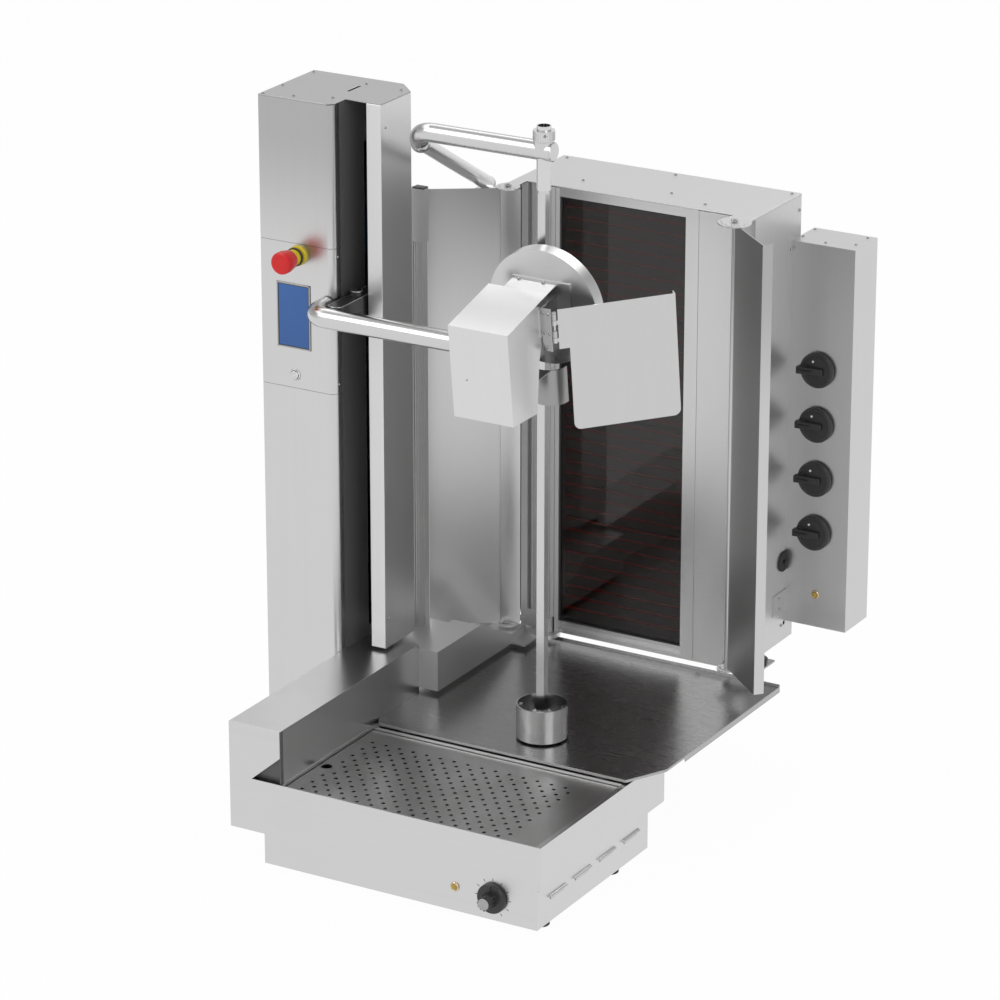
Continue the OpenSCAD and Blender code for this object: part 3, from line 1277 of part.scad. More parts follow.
// Control box: closed sheet box on the grill's right side, with its bracket
knob_side = 59;
ctrl_kx = grill_rx + knob_side;
brk_l = 45;
brk_z = [20, 60];
knob_stem_r = 3;
module control_box() color("silver") difference() {
  union() {
    bx(grill_rx, ctrl_fy, ctrl_bz, right_x, back_y, ctrl_tz);
    bx(grill_rx, ctrl_fy - brk_l, ctrl_bz + brk_z[0], grill_rx + sheet_t, ctrl_fy, ctrl_bz + brk_z[1]);
  }
  bx(grill_rx + sheet_t, ctrl_fy + sheet_t, ctrl_bz + sheet_t, right_x - sheet_t, back_y - sheet_t,
    ctrl_tz - sheet_t);
  for (i = [0:3])
    rod_y(ctrl_kx, ctrl_fy - cut, ctrl_fy + sheet_t + cut, tray_tz + knob_z + i * knob_pitch,
      knob_stem_r + 2 * fit_gap);
}

// Power knob: skirt disc with a grip bar, on its switch stem
knob_t = 11;
grip_h = 11;
grip_hw = 7;
grip_over = 2;
grip_in = 15;
knob_stem_l = 12;
module power_knob(i) color("black") translate([ctrl_kx, ctrl_fy, tray_tz + knob_z + i * knob_pitch]) {
  rod_y(0, -knob_t - move_gap, -move_gap, 0, knob_r);
  bx(-knob_r - grip_over, -knob_t - grip_h, -grip_hw, grip_in, -knob_t - move_gap, grip_hw);
  rod_y(0, -move_gap, sheet_t + knob_stem_l, 0, knob_stem_r);
}
module power_knob_1() power_knob(0);
module power_knob_2() power_knob(1);
module power_knob_3() power_knob(2);
module power_knob_4() power_knob(3);

// Rotary switches inside the control box, one behind each knob
switch_hw = 20;
switch_d = 42;
module switches() color("dimgray")
  for (i = [0:3]) translate([ctrl_kx, ctrl_fy, tray_tz + knob_z + i * knob_pitch]) difference() {
    bx(-switch_hw, sheet_t, -switch_hw, switch_hw, sheet_t + switch_d, switch_hw);
    rod_y(0, sheet_t - cut, sheet_t + knob_stem_l + move_gap, 0, knob_stem_r + fit_gap);
  }

tray_shell();
raised_wall();
tray_base();
rear_stand();
feet();
base_plate();
tray_heater();
perforated_plate();
drip_pan();
tray_thermostat();
tray_knob();
tray_lamp();
spit_gearmotor();
drive_shaft();
drive_cup();
spit_bar();
spit_sleeve();
spit_holder();
tower_column();
tower_front();
tower_top();
channel_liner();
channel_cover();
screen();
stop_base();
stop_head();
start_button();
guide_rods();
lead_screw();
lift_motor();
lift_block();
arm_slider();
arm_tube();
head_box();
blade_guard();
head_motor();
blade();
flap_hinges();
slice_flap();
small_guard();
arm_bracket();
guard_post();
grill_housing();
grill_top_plate();
frame_pillar();
frame_rails();
side_panel();
glass();
heating_wires();
heater_plates();
wing_left();
wing_right();
clamp_knob();
cable_gland();
control_box();
power_knob_1();
power_knob_2();
power_knob_3();
power_knob_4();
switches();
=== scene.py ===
import math
import bmesh
import bpy
from mathutils import Matrix, Vector


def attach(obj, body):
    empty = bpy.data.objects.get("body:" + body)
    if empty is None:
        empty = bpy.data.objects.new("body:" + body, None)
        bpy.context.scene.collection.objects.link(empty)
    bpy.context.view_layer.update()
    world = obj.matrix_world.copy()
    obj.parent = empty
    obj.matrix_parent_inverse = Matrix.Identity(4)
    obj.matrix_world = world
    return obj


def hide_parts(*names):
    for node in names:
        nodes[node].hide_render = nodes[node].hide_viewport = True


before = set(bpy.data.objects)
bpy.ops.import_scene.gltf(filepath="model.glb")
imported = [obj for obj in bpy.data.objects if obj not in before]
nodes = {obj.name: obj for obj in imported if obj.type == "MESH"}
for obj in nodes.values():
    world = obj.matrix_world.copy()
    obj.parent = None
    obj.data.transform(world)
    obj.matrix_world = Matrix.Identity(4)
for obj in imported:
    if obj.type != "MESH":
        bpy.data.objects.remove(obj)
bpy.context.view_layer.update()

# Camera. The photograph's own place: far off, a long lens, 30 degrees round from the front
# and 20 degrees above the tray.
camera_place = Vector((3.844, -6.6622, 3.4253))
camera_turn, camera_drop = math.radians(30.2004), math.radians(20.375)
camera_lens = 167.2
lens = bpy.data.cameras.new("camera")
lens.lens, lens.sensor_width, lens.clip_end = camera_lens, 36.0, 100.0
camera = bpy.data.objects.new("camera", lens)
camera.location = camera_place
camera.rotation_euler = (math.radians(90) - camera_drop, 0.0, camera_turn)
bpy.context.scene.collection.objects.link(camera)
bpy.context.scene.camera = camera


# Studio. A plain pale floor, three soft lamps and a sky that shines white to the camera, and in
# broad bands in the polished metal.
class Wire:
    """A shader socket with plain arithmetic: an expression on it adds its Math nodes."""

    def __init__(self, finish, socket):
        self.finish, self.socket = finish, socket

    def joined(self, operation, *values):
        return self.finish.node("ShaderNodeMath", {"operation": operation}, dict(enumerate(values)))

    def __add__(self, other):
        return self.joined("ADD", self, other)

    def __sub__(self, other):
        return self.joined("SUBTRACT", self, other)

    def __rsub__(self, other):
        return self.joined("SUBTRACT", other, self)

    def __mul__(self, other):
        return self.joined("MULTIPLY", self, other)

    def __pow__(self, other):
        return self.joined("POWER", self, other)

    def __lt__(self, other):
        return self.joined("LESS_THAN", self, other)

    def __abs__(self):
        return self.joined("ABSOLUTE", self)

    __radd__, __rmul__ = __add__, __mul__


class Finish:
    """One surface finish: a material's nodes, put in by one method."""

    def __init__(self, name, owner=None):
        self.owner = owner or bpy.data.materials.new(name)
        self.owner.use_nodes = True
        self.tree = self.owner.node_tree
        self.tree.nodes.clear()

    def feed(self, socket, value):
        if isinstance(value, Wire):
            self.tree.links.new(value.socket, socket)
        else:
            socket.default_value = value

    def node(self, kind, settings=None, values=None, out=0):
        made = self.tree.nodes.new(kind)
        for key, value in (settings or {}).items():
            if key == "stops":
                ramp = made.color_ramp.elements
                ramp[0].position, ramp[0].color = value[0]
                ramp[1].position, ramp[1].color = value[-1]
                for place, colour in value[1:-1]:
                    ramp.new(place).color = colour
            else:
                setattr(made, key, value)
        for key, value in (values or {}).items():
            self.feed(made.inputs[key], value)
        return Wire(self, made.outputs[out]) if made.outputs else None

    def mix(self, share, first, second):
        return self.node("ShaderNodeMix", {"data_type": "RGBA"}, {0: share, 6: first, 7: second}, 2)

    def place(self, stretch=(1.0, 1.0, 1.0), centre=(0.0, 0.0, 0.0), turn=(0.0, 0.0, 0.0)):
        """Object coordinates, seen from centre, turned and stretched."""
        seen = self.node("ShaderNodeTexCoord", None, None, "Object")
        moved = self.node("ShaderNodeVectorMath", {"operation": "SUBTRACT"}, {0: seen, 1: centre})
        return self.node("ShaderNodeMapping", None, {"Vector": moved, "Rotation": turn, "Scale": stretch})

    def parts(self, vector):
        made = self.tree.nodes.new("ShaderNodeSeparateXYZ")
        self.feed(made.inputs[0], vector)
        return [Wire(self, socket) for socket in made.outputs]

    def noise(self, vector, scale=1.0, detail=2.0, rough=0.5):
        return self.node("ShaderNodeTexNoise", None,
                         {"Vector": vector, "Scale": scale, "Detail": detail, "Roughness": rough})

    def bump(self, height, strength, depth):
        return self.node("ShaderNodeBump", None, {"Height": height, "Strength": strength, "Distance": depth})

    def coat(self, **sockets):
        """The principled surface; a socket is named with underscores for its spaces."""
        values = {key.replace("_", " "): value for key, value in sockets.items()}
        surface = self.node("ShaderNodeBsdfPrincipled", None, values)
        self.node("ShaderNodeOutputMaterial", None, {"Surface": surface})
        return self.owner


def grey(level, warm=0.0):
    return (level + warm, level, level - warm, 1.0)


def seen_bright(finish):
    """1 for rays from the camera, in gloss and through glass; 0 for those that light the object."""
    path = finish.tree.nodes.new("ShaderNodeLightPath")
    shown = [Wire(finish, path.outputs[name]) for name in
             ("Is Camera Ray", "Is Glossy Ray", "Is Transmission Ray")]
    either = shown[0] + shown[1] + shown[2]
    return finish.node("ShaderNodeMath", {"operation": "MINIMUM"}, {0: either, 1: 1.0})


sky_light, sky_shown, floor_half = 0.62, 1.0, 30.0
world = bpy.data.worlds.new("sky")
bpy.context.scene.world = world
air = Finish("sky", world)
direction = air.parts(air.node("ShaderNodeTexCoord", None, None, "Generated"))
path = air.tree.nodes.new("ShaderNodeLightPath")
gloss = Wire(air, path.outputs["Is Glossy Ray"])
ceiling = air.node("ShaderNodeValToRGB", {"stops": [
    (0.0, grey(1.0)), (0.24, grey(1.0)), (0.44, grey(0.56)), (0.58, grey(0.74)), (0.66, grey(2.2)),
    (0.76, grey(2.1)), (0.84, grey(0.50)), (1.0, grey(0.34))]}, {"Fac": direction[2]})
flag = air.node("ShaderNodeValToRGB", {"stops": [
    (0.0, grey(0.52)), (0.22, grey(1.0)), (0.55, grey(1.0)), (0.80, grey(0.60)), (1.0, grey(0.94))]},
    {"Fac": direction[0] * 0.5 + 0.5})
studio = air.mix(gloss, grey(sky_shown), air.node(
    "ShaderNodeMix", {"data_type": "RGBA", "blend_type": "MULTIPLY"}, {0: 1.0, 6: ceiling, 7: flag}, 2))
tone = air.mix(seen_bright(air), grey(sky_light), studio)
air.node("ShaderNodeOutputWorld", None, {"Surface": air.node("ShaderNodeBackground", None, {"Color": tone})})

ground = Finish("floor")
cloth = ground.node("ShaderNodeBsdfDiffuse", None, {"Color": ground.mix(
    ground.noise(ground.place(), 9.0), grey(0.86), grey(0.88))})
glow = ground.node("ShaderNodeEmission", None, {"Color": grey(1.0), "Strength": 1.0})
blend = ground.node("ShaderNodeMixShader", None, {0: seen_bright(ground) * 0.97, 1: cloth, 2: glow})
ground.node("ShaderNodeOutputMaterial", None, {"Surface": blend})
floor_mesh = bpy.data.meshes.new("floor")
floor_mesh.from_pydata([(-floor_half, -floor_half, 0), (floor_half, -floor_half, 0),
                        (floor_half, floor_half, 0), (-floor_half, floor_half, 0)], [], [(0, 1, 2, 3)])
floor_mesh.materials.append(ground.owner)
floor = bpy.data.objects.new("floor", floor_mesh)
bpy.context.scene.collection.objects.link(floor)

for title, spot, size, power in (("key_lamp", (-2.6, -3.4, 4.2), 2.4, 58.0),
                                 ("fill_lamp", (3.6, -2.0, 2.6), 2.6, 26.0),
                                 ("back_lamp", (0.4, 3.6, 4.0), 2.0, 30.0)):
    lamp = bpy.data.lights.new(title, "AREA")
    lamp.size, lamp.energy = size, power
    held = bpy.data.objects.new(title, lamp)
    held.location = spot
    held.rotation_euler = (Vector((0.0, 0.0, 0.6)) - Vector(spot)).to_track_quat("-Z", "Y").to_euler()
    bpy.context.scene.collection.objects.link(held)


# Tray unit: front sheet, raised left wall, lower box and rear stand, all bent from satin sheet
# that was ground along its length and welded at the corners.
def ground_steel(name, tone, grain, rough=0.30, spread=0.07, depth=0.3, cloud=0.05, warm=0.0, metal=1.0,
                 painted_shade=None):
    """Ground sheet: grain is how fast its lines change along x, y and z, per metre; painted_shade is the two
    heights between which the tone changes, and to what share of it: painted shade above the upper height."""
    f = Finish(name)
    line = f.noise(f.place(grain), 1.0, 3.0, 0.6)
    band = f.noise(f.place([g * 0.12 for g in grain]), 1.0, 2.0, 0.5)
    patch = f.noise(f.place(), 4.5, 4.0, 0.55)
    smear = f.noise(f.place(), 26.0, 3.0, 0.6)
    share = band * 0.35 + patch * 0.45 + line * 0.20
    grain_tone_and_painted_shade = f.mix(share, grey(tone * (1 - cloud), warm), grey(tone * (1 + cloud), warm))
    # Above the given heights the sheet's tone is painted darker: painted shade, not a change in the steel.
    if painted_shade:
        low, high, left = painted_shade
        painted_shade_rise = f.node("ShaderNodeMapRange", {"interpolation_type": "SMOOTHSTEP"},
                      {0: f.parts(f.place())[2], 1: low, 2: high, 3: 0.0, 4: 1.0})
        painted_shade_level = tone * left
        painted_shade_tone = f.mix(share, grey(painted_shade_level * (1 - cloud)), grey(painted_shade_level * (1 + cloud)))
        grain_tone_and_painted_shade = f.mix(painted_shade_rise, grain_tone_and_painted_shade, painted_shade_tone)
    return f.coat(
        Base_Color=grain_tone_and_painted_shade,
        Metallic=metal,
        Roughness=line * spread + smear * (spread * 0.5) + (rough - spread * 0.75),
        Normal=f.bump(line * 0.8 + band * 0.4, depth, 0.00012))


def dress(material, *names):
    for name in names:
        if name in softened:
            soften(nodes[name])
        slots = nodes[name].material_slots
        if not slots:
            nodes[name].data.materials.append(material)
        for slot in slots:
            slot.material = material


def soften(sheet):
    """Rounds a bent sheet's outer edges a little, so that they catch the light, and keeps its faces flat."""
    weld = sheet.modifiers.new("weld", "WELD")
    weld.merge_threshold = 0.00002
    edge = sheet.modifiers.new("edge", "BEVEL")
    edge.width, edge.segments, edge.limit_method, edge.angle_limit = 0.0008, 2, "ANGLE", math.radians(50)
    edge.use_clamp_overlap = True
    flat = sheet.modifiers.new("flat", "WEIGHTED_NORMAL")
    flat.weight, flat.keep_sharp = 100, True


softened = ("raised_wall", "tray_base", "tower_top", "head_box", "grill_top_plate", "grill_housing",
            "wing_left", "wing_right", "base_plate", "arm_bracket", "channel_cover", "side_panel")
tray_satin = ground_steel("tray_satin", 0.63, (14.0, 900.0, 900.0), 0.30)
dress(tray_satin, "tray_shell", "raised_wall", "tray_base", "rear_stand")

# Feet: eight moulded rubber pads under the tray, the base plate and the tower, each pressed on
# the end of a short levelling screw.
foot_spots = [(306.5, -445.5), (306.5, -202.5), (-189.5, -445.5), (-189.5, -202.5),
              (-137.5, 265.5), (72.5, 265.5), (-409.5, 12.5), (-409.5, -119.5)]


def mm(*values):
    return Vector(values) / 1000.0


def into_scene(name, mesh):
    made = bpy.data.objects.new(name, mesh)
    bpy.context.scene.collection.objects.link(made)
    return made


def shade(mesh, edge=32.0):
    mesh.polygons.foreach_set("use_smooth", [True] * len(mesh.polygons))
    mesh.set_sharp_from_angle(angle=math.radians(edge))
    return mesh


def turned_mesh(name, profile, steps=40):
    """A solid turned about z: profile runs (radius, height) in mm from the lower centre to the upper."""
    shape = bmesh.new()
    rings = []
    for radius, height in profile:
        count = 1 if radius == 0 else steps
        rings.append([shape.verts.new(mm(radius * math.cos(2 * math.pi * i / steps),
                                         radius * math.sin(2 * math.pi * i / steps), height))
                      for i in range(count)])
    for low, high in zip(rings, rings[1:]):
        for i in range(steps):
            j = (i + 1) % steps
            corners = [low[i % len(low)], low[j % len(low)], high[j % len(high)], high[i % len(high)]]
            shape.faces.new(sorted(set(corners), key=corners.index))
    if profile[0] == profile[-1]:
        bmesh.ops.remove_doubles(shape, verts=shape.verts, dist=1e-7)
    bmesh.ops.recalc_face_normals(shape, faces=shape.faces)
    mesh = bpy.data.meshes.new(name)
    shape.to_mesh(mesh)
    shape.free()
    return shade(mesh)


def aimed(spot, axis):
    """Takes a mesh made along z to a spot in mm, along an axis."""
    return Matrix.Translation(mm(*spot)) @ Vector(axis).to_track_quat("Z", "Y").to_matrix().to_4x4()


def piece(name, mesh, material, body, place=None, covers=()):
    """Puts a finished mesh on its body, with its finish and the solids it stands for."""
    if place is not None:
        mesh.transform(place)
    mesh.materials.clear()
    mesh.materials.append(material)
    made = into_scene(name, mesh)
    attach(made, body)
    if covers:
        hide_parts(*covers)
    return made


def new_tree(name, inputs):
    tree = bpy.data.node_groups.new(name, "GeometryNodeTree")
    for label, kind in inputs:
        tree.interface.new_socket(name=label, in_out="INPUT", socket_type=kind)
    tree.interface.new_socket(name="Geometry", in_out="OUTPUT", socket_type="NodeSocketGeometry")
    return tree


def new_node(tree, kind, settings=None, links=None, values=None):
    made = tree.nodes.new(kind)
    for key, value in (settings or {}).items():
        setattr(made, key, value)
    for key, socket in (links or {}).items():
        tree.links.new(socket, made.inputs[key])
    for key, value in (values or {}).items():
        made.inputs[key].default_value = value
    return made


def closed_tree(tree, instances, metal):
    """Every tree ends alike: instances made real, the finish set."""
    real = new_node(tree, "GeometryNodeRealizeInstances", links={"Geometry": instances})
    faced = new_node(tree, "GeometryNodeSetMaterial", links={"Geometry": real.outputs[0], "Material": metal})
    new_node(tree, "NodeGroupOutput", links={"Geometry": faced.outputs[0]})


# The tree for fasteners: a head on each point, turned to the point's facing direction.
fastener_tree = new_tree("fasteners", [("Geometry", "NodeSocketGeometry"), ("Head", "NodeSocketObject"),
                                       ("Size", "NodeSocketFloat"), ("Metal", "NodeSocketMaterial")])
entry = new_node(fastener_tree, "NodeGroupInput")
facing = new_node(fastener_tree, "GeometryNodeInputNamedAttribute", {"data_type": "FLOAT_VECTOR"},
                  values={"Name": "facing"})
turn = new_node(fastener_tree, "FunctionNodeAlignRotationToVector", {"axis": "Z"},
                {"Vector": facing.outputs[0]})
head = new_node(fastener_tree, "GeometryNodeObjectInfo", {"transform_space": "ORIGINAL"},
                {"Object": entry.outputs["Head"]})
spread = new_node(fastener_tree, "GeometryNodeInstanceOnPoints", links={
    "Points": entry.outputs["Geometry"], "Instance": head.outputs["Geometry"],
    "Rotation": turn.outputs[0], "Scale": entry.outputs["Size"]})
closed_tree(fastener_tree, spread.outputs[0], entry.outputs["Metal"])


def grown(name, tree, settings, head_mesh, points=()):
    """Runs a tree once on a seed of points and returns the plain mesh that it makes."""
    seed_mesh = bpy.data.meshes.new(name + "_seed")
    seed_mesh.from_pydata([mm(*spot) for spot, way in points], [], [])
    if points:
        ways = seed_mesh.attributes.new("facing", "FLOAT_VECTOR", "POINT")
        ways.data.foreach_set("vector", [c for spot, way in points for c in way])
    seed, head_object = into_scene(name + "_seed", seed_mesh), into_scene(name + "_head", head_mesh)
    growth = seed.modifiers.new("growth", "NODES")
    growth.node_group = tree
    for item in tree.interface.items_tree:
        if item.in_out == "INPUT" and item.name in settings:
            growth[item.identifier] = settings[item.name]
        elif item.in_out == "INPUT" and item.name == "Head":
            growth[item.identifier] = head_object
    graph = bpy.context.evaluated_depsgraph_get()
    made = bpy.data.meshes.new_from_object(seed.evaluated_get(graph), depsgraph=graph)
    for used in (seed, head_object):
        bpy.data.objects.remove(used)
    made.name = name
    return shade(made)


def moulded(name, colour, rough=0.5, pebble=900.0, depth=0.25, gloss=0.0):
    """Moulded rubber or plastic: fine grain from the mould, rubbed smoother in patches."""
    f = Finish(name)
    grain = f.noise(f.place(), pebble, 3.0, 0.6)
    rubbed = f.noise(f.place(), 34.0, 4.0, 0.6)
    dull = [c * 0.82 for c in colour[:3]] + [1.0]
    bright = [min(1.0, c * 1.16) for c in colour[:3]] + [1.0]
    return f.coat(Base_Color=f.mix(rubbed, dull, bright),
                  Roughness=grain * 0.12 + rubbed * 0.16 + (rough - 0.14),
                  Coat_Weight=gloss, Coat_Roughness=0.12, Normal=f.bump(grain, depth, 0.0001))


foot_rubber = moulded("foot_rubber", (0.028, 0.028, 0.030), 0.72, 700.0, 0.5)
pad_profile = [(0, 0), (13.6, 0), (15, 1.2), (15, 5.4), (13.4, 7.6), (9.6, 8.6), (8.4, 9.4), (8.4, 12.6),
               (6.2, 13.4), (6.2, 16), (0, 16)]
pads = grown("foot_pads", fastener_tree, {"Size": 1.0, "Metal": foot_rubber},
             turned_mesh("pad", pad_profile, 32), [((x, y, 0), (0, 0, 1)) for x, y in foot_spots])
piece("foot_pads", pads, foot_rubber, "base", covers=["feet"])


# Below the tray: the heating loop of drawn tube, the cast gear motor with its shaft, and the
# moulded body of the thermostat.
def fired_metal(name, tone, warm):
    f = Finish(name)
    scale_marks = f.noise(f.place(), 60.0, 5.0, 0.65)
    return f.coat(Base_Color=f.mix(scale_marks, grey(tone * 0.6, warm), grey(tone * 1.5, warm * 2)),
                  Metallic=0.8, Roughness=scale_marks * 0.3 + 0.35, Normal=f.bump(scale_marks, 0.3, 0.0003))


def cast_metal(name, tone):
    f = Finish(name)
    skin = f.noise(f.place(), 420.0, 4.0, 0.6)
    wear = f.noise(f.place(), 30.0, 4.0, 0.6)
    return f.coat(Base_Color=f.mix(wear, grey(tone * 0.8), grey(tone * 1.25)), Metallic=0.55,
                  Roughness=skin * 0.2 + 0.45, Normal=f.bump(skin, 0.6, 0.0004))


dress(fired_metal("heater_tube", 0.12, 0.012), "tray_heater")
motor_cast = cast_metal("motor_cast", 0.24)
dress(motor_cast, "spit_gearmotor", "lift_motor", "head_motor")
inner_plastic = moulded("inner_plastic", (0.035, 0.035, 0.037), 0.5, 500.0)
dress(inner_plastic, "tray_thermostat", "switches")


# Perforated plate and drip pan: thin pressed sheet with fine lines from the rolling and faint
# stains of grease between the holes.
def pan_sheet(name, tone, stain):
    f = Finish(name)
    line = f.noise(f.place((700.0, 12.0, 700.0)), 1.0, 3.0, 0.6)
    spots = f.noise(f.place(), 13.0, 5.0, 0.62)
    film = f.node("ShaderNodeValToRGB", {"stops": [(0.42, grey(0.0)), (0.72, grey(1.0))]}, {"Fac": spots})
    lifted = f.node("ShaderNodeSeparateColor", None, {0: film})
    return f.coat(Base_Color=f.mix(lifted * stain, grey(tone), grey(tone * 0.72, 0.012)), Metallic=1.0,
                  Roughness=line * 0.05 + lifted * 0.06 + 0.28, Normal=f.bump(line, 0.20, 0.0001))


dress(pan_sheet("plate_sheet", 0.48, 0.6), "perforated_plate")
dress(pan_sheet("pan_sheet", 0.20, 0.9), "drip_pan")

# Base plate: thick sheet with a rolled, half-bright face that mirrors the cup and the grill, and
# a slotted tongue on which the grill is set.
dress(ground_steel("plate_bright", 0.42, (12.0, 620.0, 620.0), 0.27, 0.03, 0.04, 0.04), "base_plate")

# Tray knob: black skirt with a raised pointer, fluted grip and a pale cap; printed marks stand
# round it on the sheet.
knob_black = moulded("knob_black", (0.022, 0.022, 0.023), 0.42, 800.0, 0.3, 0.1)
cap_grey = moulded("cap_grey", (0.46, 0.46, 0.46), 0.36, 900.0, 0.2)
tray_knob_spot, tray_front = (245.0, -502.5, 58.0), -502.5

ring_tree = new_tree("ring_of_bars", [("Head", "NodeSocketObject"), ("Count", "NodeSocketInt"),
                                      ("Radius", "NodeSocketFloat"), ("Start", "NodeSocketFloat"),
                                      ("Step", "NodeSocketFloat"), ("Metal", "NodeSocketMaterial")])
entry = new_node(ring_tree, "NodeGroupInput")
number = new_node(ring_tree, "GeometryNodeInputIndex")
gone = new_node(ring_tree, "ShaderNodeMath", {"operation": "MULTIPLY_ADD"},
                {0: number.outputs[0], 1: entry.outputs["Step"], 2: entry.outputs["Start"]})
sine = new_node(ring_tree, "ShaderNodeMath", {"operation": "SINE"}, {0: gone.outputs[0]})
cosine = new_node(ring_tree, "ShaderNodeMath", {"operation": "COSINE"}, {0: gone.outputs[0]})
rim = new_node(ring_tree, "ShaderNodeCombineXYZ", links={0: cosine.outputs[0], 1: sine.outputs[0]})
out = new_node(ring_tree, "ShaderNodeVectorMath", {"operation": "SCALE"},
               {0: rim.outputs[0], "Scale": entry.outputs["Radius"]})
dots = new_node(ring_tree, "GeometryNodePoints",
                links={"Count": entry.outputs["Count"], "Position": out.outputs[0]})
lean = new_node(ring_tree, "ShaderNodeCombineXYZ", links={2: gone.outputs[0]})
spun = new_node(ring_tree, "FunctionNodeEulerToRotation", links={0: lean.outputs[0]})
bar = new_node(ring_tree, "GeometryNodeObjectInfo", {"transform_space": "ORIGINAL"},
               {0: entry.outputs["Head"]})
row = new_node(ring_tree, "GeometryNodeInstanceOnPoints", links={
    "Points": dots.outputs[0], "Instance": bar.outputs["Geometry"], "Rotation": spun.outputs[0]})
closed_tree(ring_tree, row.outputs[0], entry.outputs["Metal"])


def block_mesh(name, low, high, round_off=0.0, segments=2, taper=None):
    """A block with rounded edges; taper(corner) may move a corner first. All in mm."""
    shape = bmesh.new()
    bmesh.ops.create_cube(shape, size=1.0)
    for v in shape.verts:
        spot = [low[i] if v.co[i] < 0 else high[i] for i in range(3)]
        v.co = mm(*(taper(spot) if taper else spot))
    if round_off:
        bmesh.ops.bevel(shape, geom=shape.edges[:], offset=round_off / 1000.0, segments=segments,
                        profile=0.6, affect="EDGES")
    bmesh.ops.recalc_face_normals(shape, faces=shape.faces)
    mesh = bpy.data.meshes.new(name)
    shape.to_mesh(mesh)
    shape.free()
    return shade(mesh, 28.0)


def ring_of(name, count, radius, start, step, bar_mesh, material):
    return grown(name, ring_tree, {"Count": count, "Radius": radius / 1000.0, "Start": math.radians(start),
                                   "Step": math.radians(step), "Metal": material}, bar_mesh)


def joined(name, meshes, edge=30.0):
    """Several meshes of one piece as one."""
    shape = bmesh.new()
    for mesh in meshes:
        shape.from_mesh(mesh)
    made = bpy.data.meshes.new(name)
    shape.to_mesh(made)
    shape.free()
    return shade(made, edge)


skirt_profile = [(0, 0.5), (25.6, 0.5), (27, 1.6), (27, 7.4), (25.4, 9.6), (19, 10.4), (0, 10.4)]
skirt = turned_mesh("skirt", skirt_profile, 56)
grip = turned_mesh("grip", [(0, 10), (14.2, 10), (12.6, 14), (12.2, 30.5), (11.2, 32.4), (0, 32.4)], 40)
flute = block_mesh("flute", (-1.6, -1.4, 12), (1.1, 1.4, 31), 0.6)
flutes = ring_of("flutes", 12, 12.3, 0, 30, flute, knob_black)
pointer = block_mesh("pointer", (-1.8, 12.5, 9), (1.8, 25, 11.6), 0.7)
out_front = aimed(tray_knob_spot, (0, -1, 0))
piece("tray_knob_body", joined("tray_knob_body", [skirt, grip, flutes, pointer]), knob_black, "tray_dial",
      out_front, ["tray_knob"])
knob_cap_profile = [(0, 31.6), (10.4, 31.6), (10.4, 33.0), (9.4, 34.0), (0, 34.0)]
piece("tray_knob_cap", turned_mesh("tray_knob_cap", knob_cap_profile), cap_grey, "tray_dial",
      out_front)
print_ink = moulded("print_ink", (0.03, 0.03, 0.03), 0.6, 600.0)
mark = block_mesh("mark", (-2.6, -0.6, -0.1), (2.6, 0.6, 0.12), 0.05)
marks = ring_of("knob_marks", 11, 33.0, -60, 30, mark, print_ink)
piece("knob_marks", marks, print_ink, "base", out_front)

# Notch beside the raised wall: a dark inner sheet closes the wall behind it, and the tray's left side
# sheet runs on to meet the front sheet. Their dark tone is painted shade for the shaded inside of the wall.
notch_painted_shade = ground_steel("notch_painted_shade", 0.125, (900.0, 900.0, 14.0), 0.42, 0.05, 0.2, 0.05, metal=0.3)
wall_face_y, notch_low, notch_high, side_x = -490.6, 171.0, 268.5, -180.5
inner_corner = (side_x, wall_face_y, notch_high)
notch_face = block_mesh("notch_face", (-284, wall_face_y - 0.9, notch_low), inner_corner, 0.2)
notch_side = block_mesh("notch_side", (side_x - 1.9, tray_front + 2.2, notch_low), inner_corner, 0.2)
piece("notch_lining", joined("notch_lining", [notch_face, notch_side]), notch_painted_shade, "base")

# Pilot lamps: an amber lens with fine ribs in a brass-coloured ring, one pressed into the tray's
# front sheet and one into the control box.
brass = ground_steel("lamp_brass", 0.50, (300.0, 300.0, 300.0), 0.26, 0.05, 0.3, 0.05, 0.13)
amber = Finish("lamp_amber")
ribs = amber.node("ShaderNodeTexWave", {"wave_type": "RINGS", "rings_direction": "Y"},
                  {"Vector": amber.place(centre=(0.1705, 0.0, 0.061)), "Scale": 160.0})
amber_lens = amber.coat(Base_Color=amber.mix(ribs, (0.30, 0.17, 0.006, 1), (0.62, 0.42, 0.02, 1)),
                        Roughness=0.16, Coat_Weight=0.6, Coat_Roughness=0.05)
lens_profile = [(0, 2.2), (5.2, 2.2), (4.9, 3.8), (3.4, 5.0), (1.6, 5.6), (0, 5.8)]
rim_profile = [(5.2, 0.2), (8.4, 0.2), (8.4, 1.9), (7.4, 3.0), (6.0, 3.2), (5.2, 2.6), (5.2, 0.2)]
for title, body, spot, covers in (("tray_lamp", "base", (170.5, tray_front, 61.0), ["tray_lamp"]),
                                  ("control_lamp", "grill", (372.3, 446.5, 310.8), [])):
    forward = aimed(spot, (0, -1, 0))
    piece(title + "_lens", turned_mesh("lens", lens_profile), amber_lens, body, forward, covers)
    piece(title + "_ring", turned_mesh("rim", rim_profile), brass, body, forward)


